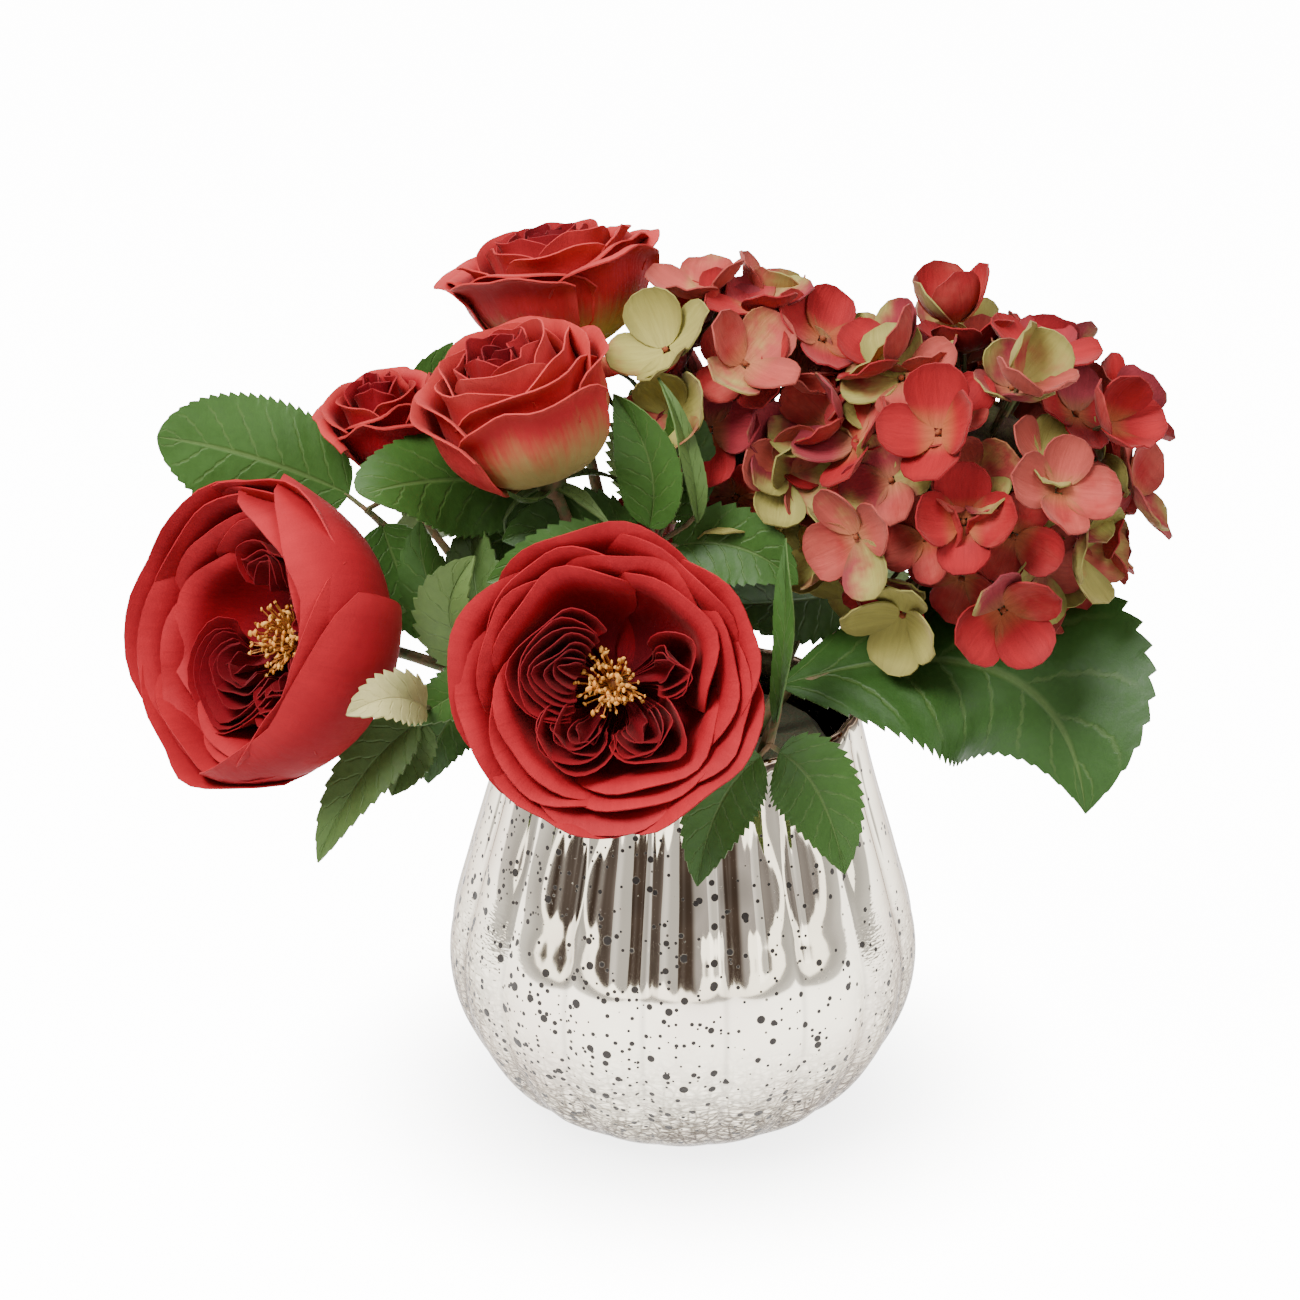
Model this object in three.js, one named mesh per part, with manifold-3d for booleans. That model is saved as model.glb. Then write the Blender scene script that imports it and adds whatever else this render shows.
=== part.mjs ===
// Floral table centerpiece: fabric roses and hydrangeas in a ribbed mercury-glass vase.
// Millimetres, +Z up. The origin is the middle of the vase's flat base, -Y is the front.

import * as THREE from "three";
import { mergeVertices } from "three/addons/utils/BufferGeometryUtils.js";
import Module from "manifold-3d";

const wasm = await Module();
wasm.setup();

// ---------------------------------------------------------------- driving dimensions

const GAP = 0.3; // air between pieces that sit against each other
const PETAL = 0.8; // thickness of a petal
const LEAF = 0.9; // thickness of a leaf

const VASE_HEIGHT = 150;
const VASE_WALL = 3;
const VASE_RIBS = 18;
const RIB_DEPTH = 2; // how far the grooves lie behind the lobes
const VASE_OUTSIDE = [ // height, radius over the lobes
  [0, 50], [8, 62], [22, 73.3], [42, 82.3], [64, 84.1], [90, 77.8],
  [122, 68.6], [VASE_HEIGHT, 61.7],
];

const FOAM_RADIUS = 52;
const FOAM_TOP = 138;
const STEM_DEPTH = 34; // how far a stem goes into the foam
const HOLE_PLAY = 0.8; // the hole is this much wider in radius than its stem

const FLORET = 22; // radius of a hydrangea floret
const STALK_ROOT = 0.7; // a floret's stalk starts at this share of the core's radius
const LAYER = 0.07; // florets lie in three layers, this share of the head's reach apart
const LOBE_ANGLES = [-45, -24, 24]; // where a petal of a floret has points round its edge

const BELLY = 0.72; // share of a petal's length from its root to its belly
const STALK_END = 0.15; // share of a leaf's rows that its stalk takes
const STALK_HALF = 0.9; // half the width of a leaf's stalk

const up = new THREE.Vector3(0, 0, 1);
const vec = (p) => new THREE.Vector3(p[0], p[1], p[2]);
const rad = THREE.MathUtils.degToRad;

// Seeded draws, the same on every run.
function draws(seed) {
  let state = seed;
  return (low, high) => {
    state = (state * 16807) % 2147483647;
    return low + ((high - low) * state) / 2147483647;
  };
}

// ---------------------------------------------------------------- solids

function toSolid(geometry) {
  const bare = geometry.clone();
  bare.deleteAttribute("normal");
  bare.deleteAttribute("uv");
  const merged = mergeVertices(bare, 1e-4);
  return new wasm.Manifold(new wasm.Mesh({
    numProp: 3,
    vertProperties: new Float32Array(merged.attributes.position.array),
    triVerts: new Uint32Array(merged.index.array),
  }));
}

// Joins pieces, keeps the one body that they make, and fills what they seal off.
function join(pieces) {
  const all = pieces.reduce((sum, piece) => sum.add(piece));
  return all.decompose().reduce((a, b) => (b.volume() > a.volume() ? b : a));
}

function toGeometry(solid) {
  const mesh = solid.getMesh();
  const geometry = new THREE.BufferGeometry();
  geometry.setAttribute("position", new THREE.BufferAttribute(mesh.vertProperties, 3));
  geometry.setIndex(new THREE.BufferAttribute(mesh.triVerts, 1));
  geometry.computeVertexNormals();
  return geometry;
}

// A closed sheet of even thickness on surface(u, v), u -1..1 across and v 0..1 along its length.
// It has a row of points at each v in rows. Its root is a narrow bar, so the first two rows have two.
function blade(surface, across, rows, thickness) {
  const columns = rows.map((_, j) => {
    const gaps = j < 2 ? 1 : across;
    return Array.from({ length: gaps + 1 }, (_, i) => (2 * i) / gaps - 1);
  });
  const start = columns.map((_, j) => columns.slice(0, j).reduce((sum, row) => sum + row.length, 0));
  const count = start.at(-1) + columns.at(-1).length;
  const flat = [];
  const step = 0.02;
  for (const side of [0.5, -0.5]) {
    rows.forEach((v, j) => columns[j].forEach((u) => {
      const du = surface(Math.min(1, u + step), v).sub(surface(Math.max(-1, u - step), v));
      const dv = surface(u, Math.min(1, v + step)).sub(surface(u, Math.max(0, v - step)));
      const normal = du.cross(dv).normalize();
      flat.push(...surface(u, v).addScaledVector(normal, side * thickness).toArray());
    }));
  }
  const faces = [];
  const both = (a, b, c) => faces.push(a, b, c, a + count, c + count, b + count);
  const first = start[2];
  const middle = Math.floor(across / 2);
  both(0, 1, 3);
  both(0, 3, 2);
  both(2, 3, first + middle);
  for (let i = middle; i > 0; i--) both(2, first + i, first + i - 1);
  for (let i = across; i > middle; i--) both(3, first + i, first + i - 1);
  for (let j = 2; j < rows.length - 1; j++) {
    for (let i = 0; i < across; i++) {
      const [a, b] = [start[j] + i, start[j + 1] + i];
      both(a, a + 1, b + 1);
      both(a, b + 1, b);
    }
  }
  const rim = [0];
  for (let j = 0; j < rows.length; j++) rim.push(start[j] + columns[j].length - 1);
  for (let i = across - 1; i > 0; i--) rim.push(start.at(-1) + i);
  for (let j = rows.length - 1; j > 0; j--) rim.push(start[j]);
  rim.forEach((a, k) => {
    const b = rim[(k + 1) % rim.length];
    faces.push(b, a, a + count, b, a + count, b + count);
  });
  return toSolid(facesOf(flat, faces));
}

function facesOf(flat, faces) {
  const geometry = new THREE.BufferGeometry();
  geometry.setAttribute("position", new THREE.Float32BufferAttribute(flat, 3));
  geometry.setIndex(faces);
  return geometry;
}

// A round rod along a smooth line through the points.
function rod(points, radius, steps, sides = 6) {
  const outline = new THREE.Shape();
  for (let k = 0; k < sides; k++) {
    const angle = (2 * Math.PI * k) / sides;
    const [x, y] = [radius * Math.cos(angle), radius * Math.sin(angle)];
    if (k) outline.lineTo(x, y);
    else outline.moveTo(x, y);
  }
  const path = new THREE.CatmullRomCurve3(points.map(vec));
  return toSolid(new THREE.ExtrudeGeometry(outline, { steps, extrudePath: path, bevelEnabled: false }));
}

function turned(profile, segments) {
  return toSolid(new THREE.LatheGeometry(profile.map((p) => new THREE.Vector2(...p)), segments)
    .rotateX(Math.PI / 2));
}

// ---------------------------------------------------------------- vase and foam

// Radius of a smooth line through [height, radius] pairs.
function radiusAt(pairs, height) {
  let k = 0;
  while (k < pairs.length - 2 && height > pairs[k + 1][0]) k++;
  const slope = (i) => {
    const a = pairs[Math.max(0, i - 1)];
    const b = pairs[Math.min(pairs.length - 1, i + 1)];
    return (b[1] - a[1]) / (b[0] - a[0]);
  };
  const [[z0, r0], [z1, r1]] = [pairs[k], pairs[k + 1]];
  const [t, span] = [(height - z0) / (z1 - z0), z1 - z0];
  return r0 * (1 + 2 * t) * (1 - t) ** 2 + r1 * t * t * (3 - 2 * t)
    + span * (slope(k) * t * (1 - t) ** 2 - slope(k + 1) * t * t * (1 - t));
}

// A ring wall of stacked rows, each point moved out or in by the ribs.
function ribbedBody() {
  const perRib = 3;
  const around = VASE_RIBS * perRib;
  const heights = VASE_OUTSIDE.map((pair) => pair[0]);
  const profile = [[0, 0], ...heights.map((z) => [radiusAt(VASE_OUTSIDE, z), z]), [0, VASE_HEIGHT]];
  const lathe = new THREE.LatheGeometry(profile.map((p) => new THREE.Vector2(...p)), around)
    .rotateX(Math.PI / 2);
  const place = lathe.attributes.position;
  for (let k = 0; k < place.count; k++) {
    const [x, y, z] = [place.getX(k), place.getY(k), place.getZ(k)];
    const radius = Math.hypot(x, y);
    if (radius < 1) continue;
    const lobe = Math.abs(Math.sin((Math.atan2(y, x) * VASE_RIBS) / 2));
    const fade = Math.min(1, 0.35 + z / 12);
    const scale = (radius - RIB_DEPTH * fade * (1 - lobe)) / radius;
    place.setXY(k, x * scale, y * scale);
  }
  return toSolid(lathe);
}

function vase() {
  const inside = [[0, VASE_WALL]];
  for (const z of [VASE_WALL, 16, 42, 76, 112]) {
    inside.push([radiusAt(VASE_OUTSIDE, z) - VASE_WALL - RIB_DEPTH, z]);
  }
  inside.push([VASE_OUTSIDE.at(-1)[1] - VASE_WALL, VASE_HEIGHT + 1], [0, VASE_HEIGHT + 1]);
  return ribbedBody().subtract(turned(inside, 20));
}

function foam(stems) {
  const bottom = VASE_WALL + GAP;
  const block = turned([[0, bottom], [FOAM_RADIUS - 8, bottom], [FOAM_RADIUS, bottom + 10],
    [FOAM_RADIUS, FOAM_TOP - 4], [FOAM_RADIUS - 4, FOAM_TOP], [0, FOAM_TOP]], 16);
  return join([stems.reduce((body, stem) => body.subtract(stem.hole), block)]);
}

// ---------------------------------------------------------------- stems

// A stem runs from its hole in the foam through the listed points. foot is where it leaves the foam's top.
function stem(foot, through, radius, steps = 5) {
  const top = new THREE.Vector3(foot[0], foot[1], FOAM_TOP + 2);
  const next = vec(through[0]);
  const slope = next.clone().sub(top).normalize();
  slope.z = Math.max(slope.z, 0.8);
  slope.normalize();
  const at = (depth) => top.clone().addScaledVector(slope, -depth).toArray();
  const points = [at(STEM_DEPTH), at(STEM_DEPTH / 2), at(0), ...through];
  return {
    solid: rod(points, radius, steps, 5),
    hole: rod([at(STEM_DEPTH + 1), at(-8)], radius + HOLE_PLAY, 1, 5),
  };
}

// ---------------------------------------------------------------- leaves

// A point on a leaf. Its stalk runs from a point in the stem to the leaf's base, where v is STALK_END,
// and its midrib is a curve from there through bend to the tip.
function leafPoint(leaf, u, v, saw) {
  const [a, b, c] = [vec(leaf.base), vec(leaf.bend), vec(leaf.tip)];
  const t = Math.max(0, (v - STALK_END) / (1 - STALK_END));
  const rib = a.clone().multiplyScalar((1 - t) ** 2)
    .addScaledVector(b, 2 * t * (1 - t)).addScaledVector(c, t * t);
  if (v < STALK_END) rib.lerp(vec(leaf.from), 1 - v / STALK_END);
  const along = b.clone().sub(a).multiplyScalar(1 - t).addScaledVector(c.clone().sub(b), t).normalize();
  const across = along.clone().cross(vec(leaf.face)).normalize();
  const face = across.clone().cross(along).normalize();
  const [rise, drop] = leaf.shape ?? [0.55, 0.85];
  const full = rise / (rise + drop); // where the leaf is widest
  const shape = (t / full) ** rise * ((1 - t) / (1 - full)) ** drop;
  const half = Math.max(STALK_HALF, 0.5 * leaf.width * shape * saw);
  const fold = rad(leaf.fold ?? 12);
  const wave = (leaf.wave ?? 1.5) * Math.sin(7 * t + (u > 0 ? 1 : 2.2)) * Math.abs(u) * shape;
  return rib.addScaledVector(across, u * half * Math.cos(fold))
    .addScaledVector(face, Math.abs(u) * half * Math.sin(fold) + wave);
}

// A leaf with saw teeth: every second row of its edge is drawn in.
function leafBlade(leaf) {
  const count = 2 * (leaf.teeth ?? 4);
  const notch = leaf.notch ?? 0.12;
  const rows = [0];
  for (let k = 0; k <= count; k++) rows.push(STALK_END + ((1 - STALK_END) * k) / count);
  return blade((u, v) => {
    const row = Math.round((count * (v - STALK_END)) / (1 - STALK_END));
    return leafPoint(leaf, u, v, row % 2 ? 1 : 1 - notch);
  }, 2, rows, LEAF);
}

// ---------------------------------------------------------------- roses

// Where a curve of even bend from angle a0 to a1 (from the axis) has come after t of its length.
function arcAt(a0, a1, length, t) {
  const turn = (a1 - a0) * t;
  if (Math.abs(a1 - a0) < 1e-3) return [length * t * Math.sin(a0), length * t * Math.cos(a0)];
  const size = length / (a1 - a0);
  return [size * (Math.cos(a0) - Math.cos(a0 + turn)), size * (Math.sin(a0 + turn) - Math.sin(a0))];
}

// A point on a petal in its bloom's own frame, with +Z out of the open face. A petal with a sector
// lies on a bowl round the bloom's axis. One with a cup is a scroll of that radius, open to the axis.
function petalPoint(petal, u, v) {
  const s = v * (1 - petal.round * (1 - Math.sqrt(1 - 0.96 * u * u)));
  const [a0, a1, a2] = petal.lean.map(rad);
  let [out, high] = arcAt(a0, a1, petal.length * BELLY, Math.min(1, s / BELLY));
  let lean = a0 + (a1 - a0) * Math.min(1, s / BELLY);
  if (s > BELLY) {
    const t = (s - BELLY) / (1 - BELLY);
    const [x, z] = arcAt(a1, a2, petal.length * (1 - BELLY), t);
    [out, high, lean] = [out + x, high + z, a1 + (a2 - a1) * t];
  }
  out += petal.root[0];
  high += petal.root[1];
  let push = petal.spiral * u * Math.min(1, s / 0.55)
    + petal.ruffle * s ** 3 * Math.sin(4.2 * u + petal.phase);
  const claw = Math.min(1, 0.35 + 1.4 * s);
  let [side, around] = [0, petal.turn];
  if (petal.cup) {
    const cup = petal.cup[0] + (petal.cup[1] - petal.cup[0]) * s;
    const wrap = u * rad(petal.wrap) * claw;
    side = cup * Math.sin(wrap);
    push -= cup * (1 - Math.cos(wrap));
  } else {
    around += u * rad(petal.sector) * claw;
  }
  const radial = out + push * Math.cos(lean);
  const z = high - push * Math.sin(lean);
  const [c, d] = [Math.cos(around), Math.sin(around)];
  return new THREE.Vector3(radial * c - side * d, radial * d + side * c, z);
}

// The rings of petals of each kind of bloom, from the outside in. lean is a petal's angle from the
// bloom's axis at its root, at its belly and at its tip, and root is its root's radius and height.
const OPEN_ROSE = { // wide quartered bloom, about 98 mm across
  receptacle: [[0, 0], [8, 1], [8.5, 13], [4, 17], [0, 17]],
  rings: [
    { count: 5, length: 66, sector: 45, lean: [100, 18, 42], root: [4, 2.5], spiral: 1.8 },
    { count: 5, length: 59.5, sector: 44, lean: [92, 11, 26], root: [4, 5], spiral: 1.8 },
    { count: 4, length: 53, sector: 52, lean: [84, 4, 16], root: [4, 7.5], spiral: 2.1 },
    { count: 4, length: 44, sector: 52, lean: [76, 0, 6], root: [4, 10], spiral: 1.8 },
    { count: 5, length: 31, wrap: 110, cup: [2.4, 5.9], lean: [60, 4, 0], root: [4, 12.5], spiral: 0.2 },
  ],
};

const CUPPED_ROSE = { // three-quarter open bloom, about 80 mm across
  receptacle: [[0, 0], [6, 1], [6, 13], [0, 18]],
  rings: [
    { count: 2, length: 46, sector: 34, lean: [100, 66, 150], root: [3, 1.5], spiral: 1.6, turns: [-2, -64] },
    { count: 5, length: 56, sector: 43, lean: [84, 14, 70], root: [3, 4], spiral: 1.8 },
    { count: 4, length: 51, sector: 52, lean: [76, 6, 40], root: [3, 6.5], spiral: 2 },
    { count: 4, length: 46, sector: 52, lean: [66, 0, 14], root: [3, 8.5], spiral: 2 },
    { count: 3, length: 41, sector: 68, lean: [52, -4, 0], root: [2, 10.5], spiral: 1.7 },
    { count: 2, length: 36, sector: 98, lean: [34, -6, -6], root: [1, 12.5], spiral: 1.4 },
  ],
};

const HALF_ROSE = { // half-open bloom, tall and round
  receptacle: [[0, 0], [6, 1], [6, 13], [0, 20]],
  rings: [
    { count: 4, length: 61, sector: 53, lean: [92, -2, 22], root: [3, 2], spiral: 2.1 },
    { count: 3, length: 56, sector: 70, lean: [78, -8, -2], root: [3, 5], spiral: 1.8 },
    { count: 3, length: 52, sector: 70, lean: [62, -10, -8], root: [2, 8], spiral: 1.8 },
    { count: 3, length: 47, sector: 70, lean: [42, -8, -8], root: [1.5, 10.5], spiral: 1.6 },
    { count: 2, length: 42, sector: 102, lean: [22, -6, -6], root: [1, 13], spiral: 1.4 },
  ],
};

const BUD = { // small opening bud
  receptacle: [[0, 0], [3.5, 1], [3.5, 9], [0, 14]],
  rings: [
    { count: 4, length: 35, sector: 52, lean: [80, 2, 44], root: [2, 1.5], spiral: 1.6 },
    { count: 3, length: 32, sector: 68, lean: [62, -4, 12], root: [2, 4], spiral: 1.4 },
    { count: 3, length: 29, sector: 68, lean: [44, -8, -4], root: [1, 6.5], spiral: 1.2 },
    { count: 2, length: 25, sector: 98, lean: [24, -6, -4], root: [0.5, 9], spiral: 1 },
  ],
};

const ROSES = [
  { name: "rose_front", kind: OPEN_ROSE, base: [-21, -59, 180], axis: [-0.14, -0.93, 0.36], roll: 20,
    seed: 11, size: 1, stamens: true, foot: [-14, -32], through: [[-17, -38, 158]], red: 0xb3151c },
  { name: "rose_left", kind: OPEN_ROSE, base: [-119, -17, 178], axis: [-0.65, -0.68, 0.33], roll: 65,
    seed: 23, size: 1.1, stamens: true, foot: [-40, -12], through: [[-66, -12, 160], [-94, -8, 170]],
    red: 0xb3151c },
  { name: "rose_top", kind: CUPPED_ROSE, base: [-39, 38, 263], axis: [-0.22, 0.1, 0.95], roll: 0,
    seed: 37, size: 1, foot: [-10, 12], through: [[-20, 20, 180], [-33, 32, 230]], red: 0xc8333a },
  { name: "rose_half_open", kind: HALF_ROSE, base: [-46, -23, 241], axis: [-0.33, -0.18, 0.92], roll: 10,
    seed: 41, size: 0.96, foot: [-24, -8], through: [[-30, -14, 180], [-38, -20, 210]], red: 0xcc3a3e },
  { name: "rose_bud", kind: BUD, base: [-98, 5, 236], axis: [-0.25, -0.18, 0.95], roll: 0, seed: 53,
    size: 1, foot: [-42, 8], through: [[-62, 8, 176], [-86, 9, 208]], red: 0xb0181f },
];

function bloomFrame(rose) {
  const turn = new THREE.Quaternion().setFromUnitVectors(up, vec(rose.axis).normalize());
  turn.multiply(new THREE.Quaternion().setFromAxisAngle(up, rad(rose.roll)));
  return new THREE.Matrix4().compose(vec(rose.base), turn, new THREE.Vector3().setScalar(rose.size));
}

// The petals of a bloom, ring by ring, each a little different.
function petalsOf(rose) {
  const draw = draws(rose.seed);
  return rose.kind.rings.flatMap((ring, k) => Array.from({ length: ring.count }, (_, i) => ({
    ...ring,
    ring: k,
    turn: rad((ring.turns ? ring.turns[i] : (360 * (i + 0.37 * k)) / ring.count) + draw(-4, 4)),
    length: ring.length * draw(0.98, 1.02),
    lean: ring.lean.map((angle) => angle + draw(-0.6, 0.6)),
    round: draw(0.22, 0.34),
    ruffle: draw(0.15, 0.4),
    phase: draw(0, 6.2),
  })));
}

// Room round the stamens, which the inner petals stand clear of.
const STAMEN_FLOOR = 17 + 2 * GAP;
const STAMEN_WELL = [[0, 17 + GAP], [3.8, 17 + GAP], [14, 30], [14.5, 50], [0, 50]];
const STAMEN_COUNT = 8;

function bloom(rose) {
  const frame = bloomFrame(rose);
  const petals = petalsOf(rose).map((petal) => {
    const rows = petal.length > 54 ? [0, 0.14, 0.42, BELLY, 1] : [0, 0.17, 0.62, 1];
    const across = petal.cup ? 4 : Math.round(petal.sector / 16);
    return blade((u, v) => petalPoint(petal, u, v).applyMatrix4(frame), across, rows, PETAL);
  });
  const place = (profile, sides) => turned(profile, sides).transform(frame.elements);
  const body = join([place(rose.kind.receptacle, 5), ...petals]);
  return rose.stamens ? join([body.subtract(place(STAMEN_WELL, 7))]) : body;
}

// A thread with a thicker head, three-sided.
function thread(from, to, thin, head) {
  const length = from.distanceTo(to);
  const profile = [[0, 0], [thin, 1], [head, length * 0.9], [0, length]];
  const turn = new THREE.Quaternion().setFromUnitVectors(up, to.clone().sub(from).normalize());
  const frame = new THREE.Matrix4().compose(from, turn, new THREE.Vector3(1, 1, 1));
  return turned(profile, 3).transform(frame.elements);
}

function stamens(rose) {
  const draw = draws(rose.seed + 5);
  const threads = Array.from({ length: STAMEN_COUNT }, (_, i) => {
    const turn = 2.4 * i;
    const lean = rad(6 + 44 * Math.sqrt(i / STAMEN_COUNT));
    const from = new THREE.Vector3(1.5 * Math.cos(turn), 1.5 * Math.sin(turn), STAMEN_FLOOR + 1);
    const length = draw(9, 12.5);
    const to = from.clone().add(new THREE.Vector3(Math.sin(lean) * Math.cos(turn),
      Math.sin(lean) * Math.sin(turn), Math.cos(lean)).multiplyScalar(length));
    return thread(from, to, 0.5, 1.1);
  });
  const disc = turned([[0, STAMEN_FLOOR], [3, STAMEN_FLOOR], [2.4, STAMEN_FLOOR + 2.4],
    [0, STAMEN_FLOOR + 2.8]], 6);
  return join([disc, ...threads]).transform(bloomFrame(rose).elements);
}

// Hip, stem and sepals. The sepals of an open rose bend back, those of a bud hold it.
function roseStem(rose) {
  const frame = bloomFrame(rose);
  const scale = rose.kind === BUD ? 0.62 : 0.9;
  const hip = turned([[0, -11 * scale], [2.6 * scale, -10 * scale], [6 * scale, -5 * scale],
    [5.6 * scale, -GAP / rose.size], [0, -GAP / rose.size]], 5).transform(frame.elements);
  const sepals = Array.from({ length: 5 }, (_, i) => {
    const turn = rad(72 * i + 15);
    const sepal = { turn, length: 24 * scale, lean: [100, 128, 150], root: [3 * scale, -4 * scale],
      cup: [5, 1.5], wrap: 45, spiral: 0, ruffle: 0.6, phase: i, round: 0.5 };
    return blade((u, v) => petalPoint(sepal, u, v).applyMatrix4(frame), 1, [0, 0.5, 1], LEAF);
  });
  const neck = [0, 0, -6 * scale];
  const below = [0, 0, -20 * scale];
  const ends = [below, neck].map((p) => vec(p).applyMatrix4(frame).toArray());
  const made = stem(rose.foot, [...rose.through, ...ends], rose.kind === BUD ? 1.5 : 2.1);
  return { solid: join([made.solid, hip, ...sepals]), hole: made.hole };
}

// ---------------------------------------------------------------- hydrangeas

// squash makes a head narrower or taller, without lists florets that a neighbour leaves no room for.
const HYDRANGEAS = [
  { name: "hydrangea_right", centre: [96, -5, 231], reach: 56, core: 38, squash: [1, 1, 1],
    axis: [0.22, -0.1, 0.97], count: 30, cover: 128, seed: 71, without: [17, 25, 26], foot: [26, -2],
    through: [[44, -2, 166], [70, -3, 186]], leaf: true },
  { name: "hydrangea_back", centre: [20, 12, 248], reach: 42, core: 20, squash: [0.75, 0.85, 1.2],
    axis: [-0.1, -0.3, 0.95], count: 20, cover: 140, seed: 83, without: [4, 5, 6, 7, 8, 9, 16],
    foot: [12, 16], through: [[16, 18, 170], [19, 16, 200]] },
];

// The edge of a floret: four rounded petals with notches between them, cupped and twisted.
function floretEdge(angle, size) {
  const lobe = 0.66 + 0.34 * Math.abs(Math.cos(2 * angle)) ** 0.55;
  const lift = 0.16 + 0.14 * lobe * Math.sin(4 * angle) + 0.16 * lobe;
  return new THREE.Vector3(lobe * Math.cos(angle), lobe * Math.sin(angle), lift).multiplyScalar(size);
}

// A floret: a cupped plate of four petals and its stalk, which runs down to the root point.
function floretSolid(floret, root) {
  const frame = new THREE.Matrix4().compose(floret.spot, floret.facing, new THREE.Vector3(1, 1, 1));
  const flat = [];
  const add = (x, y, z) => flat.push(...new THREE.Vector3(x, y, z).applyMatrix4(frame).toArray());
  const angles = [0, 90, 180, 270].flatMap((turn) => LOBE_ANGLES.map((angle) => rad(turn + angle)));
  const count = angles.length;
  for (const lift of [0, -PETAL]) {
    for (const angle of angles) {
      const point = floretEdge(angle, floret.size);
      add(point.x, point.y, point.z + lift);
    }
  }
  const [top, neck, foot] = [0, 1, 4].map((k) => 2 * count + k);
  add(0, 0, 0);
  const corners = [0, 120, 240].map((angle) => [1.4 * Math.cos(rad(angle)), 1.4 * Math.sin(rad(angle))]);
  corners.forEach(([x, y]) => add(x, y, -PETAL));
  const down = root.clone().applyMatrix4(frame.clone().invert());
  corners.forEach(([x, y]) => add(down.x + x, down.y + y, down.z));
  const faces = [foot, foot + 2, foot + 1];
  const corner = (k) => neck + (Math.round((3 * k) / count) % 3);
  for (let k = 0; k < count; k++) {
    const [a, b] = [k, (k + 1) % count];
    const [c, d] = [a + count, b + count];
    faces.push(top, a, b, b, a, c, b, c, d, d, c, corner(k));
    if (corner(k) !== corner(k + 1)) faces.push(d, corner(k), corner(k + 1));
  }
  for (let k = 0; k < 3; k++) {
    const next = (k + 1) % 3;
    faces.push(neck + k, foot + k, foot + next, neck + k, foot + next, neck + next);
  }
  return toSolid(facesOf(flat, faces));
}

// Places of the florets over a head: an even spiral over the dome, each tilted a little.
function floretsOf(head) {
  const draw = draws(head.seed);
  const toHead = new THREE.Quaternion().setFromUnitVectors(up, vec(head.axis).normalize());
  const all = Array.from({ length: head.count }, (_, i) => {
    const high = 1 - ((i + 0.5) / head.count) * (1 - Math.cos(rad(head.cover)));
    const turn = 2.39996 * i;
    const flat = Math.sqrt(1 - high * high);
    const out = new THREE.Vector3(flat * Math.cos(turn), flat * Math.sin(turn), high).applyQuaternion(toHead);
    const tilt = new THREE.Vector3(draw(-0.3, 0.3), draw(-0.3, 0.3), draw(-0.15, 0.4));
    const reach = head.reach * (draw(0.98, 1.02) + LAYER * ((i % 3) - 1));
    const arm = out.clone().multiply(vec(head.squash)).multiplyScalar(reach);
    const spot = vec(head.centre).add(arm);
    const face = out.clone().add(tilt).normalize();
    const facing = new THREE.Quaternion().setFromUnitVectors(up, face);
    facing.multiply(new THREE.Quaternion().setFromAxisAngle(up, draw(0, 1.57)));
    return { spot, arm, facing, size: FLORET * draw(0.92, 1.06) };
  });
  return all.filter((_, i) => !head.without.includes(i));
}

function coreSolid(head, more) {
  const ball = new THREE.IcosahedronGeometry(head.core + more, 0);
  return toSolid(ball.scale(...head.squash).translate(...head.centre));
}

function hydrangeaHead(head) {
  const pieces = [coreSolid(head, 0)];
  for (const floret of floretsOf(head)) {
    const root = vec(head.centre).addScaledVector(floret.arm, (STALK_ROOT * head.core) / head.reach);
    pieces.push(floretSolid(floret, root));
  }
  return join(pieces);
}

// ---------------------------------------------------------------- leafy sprays

const BIG_LEAF = { base: [32, -36, 170], bend: [136, -54, 184], tip: [136, -64, 132],
  face: [0.1, -0.6, 0.78], width: 84, teeth: 8, notch: 0.1, fold: -10, wave: 2, shape: [0.6, 0.8] };

const ROUND = [0.5, 0.6]; // a leaf with a full tip
const SLIM = [0.7, 1]; // a leaf with a long point

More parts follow.
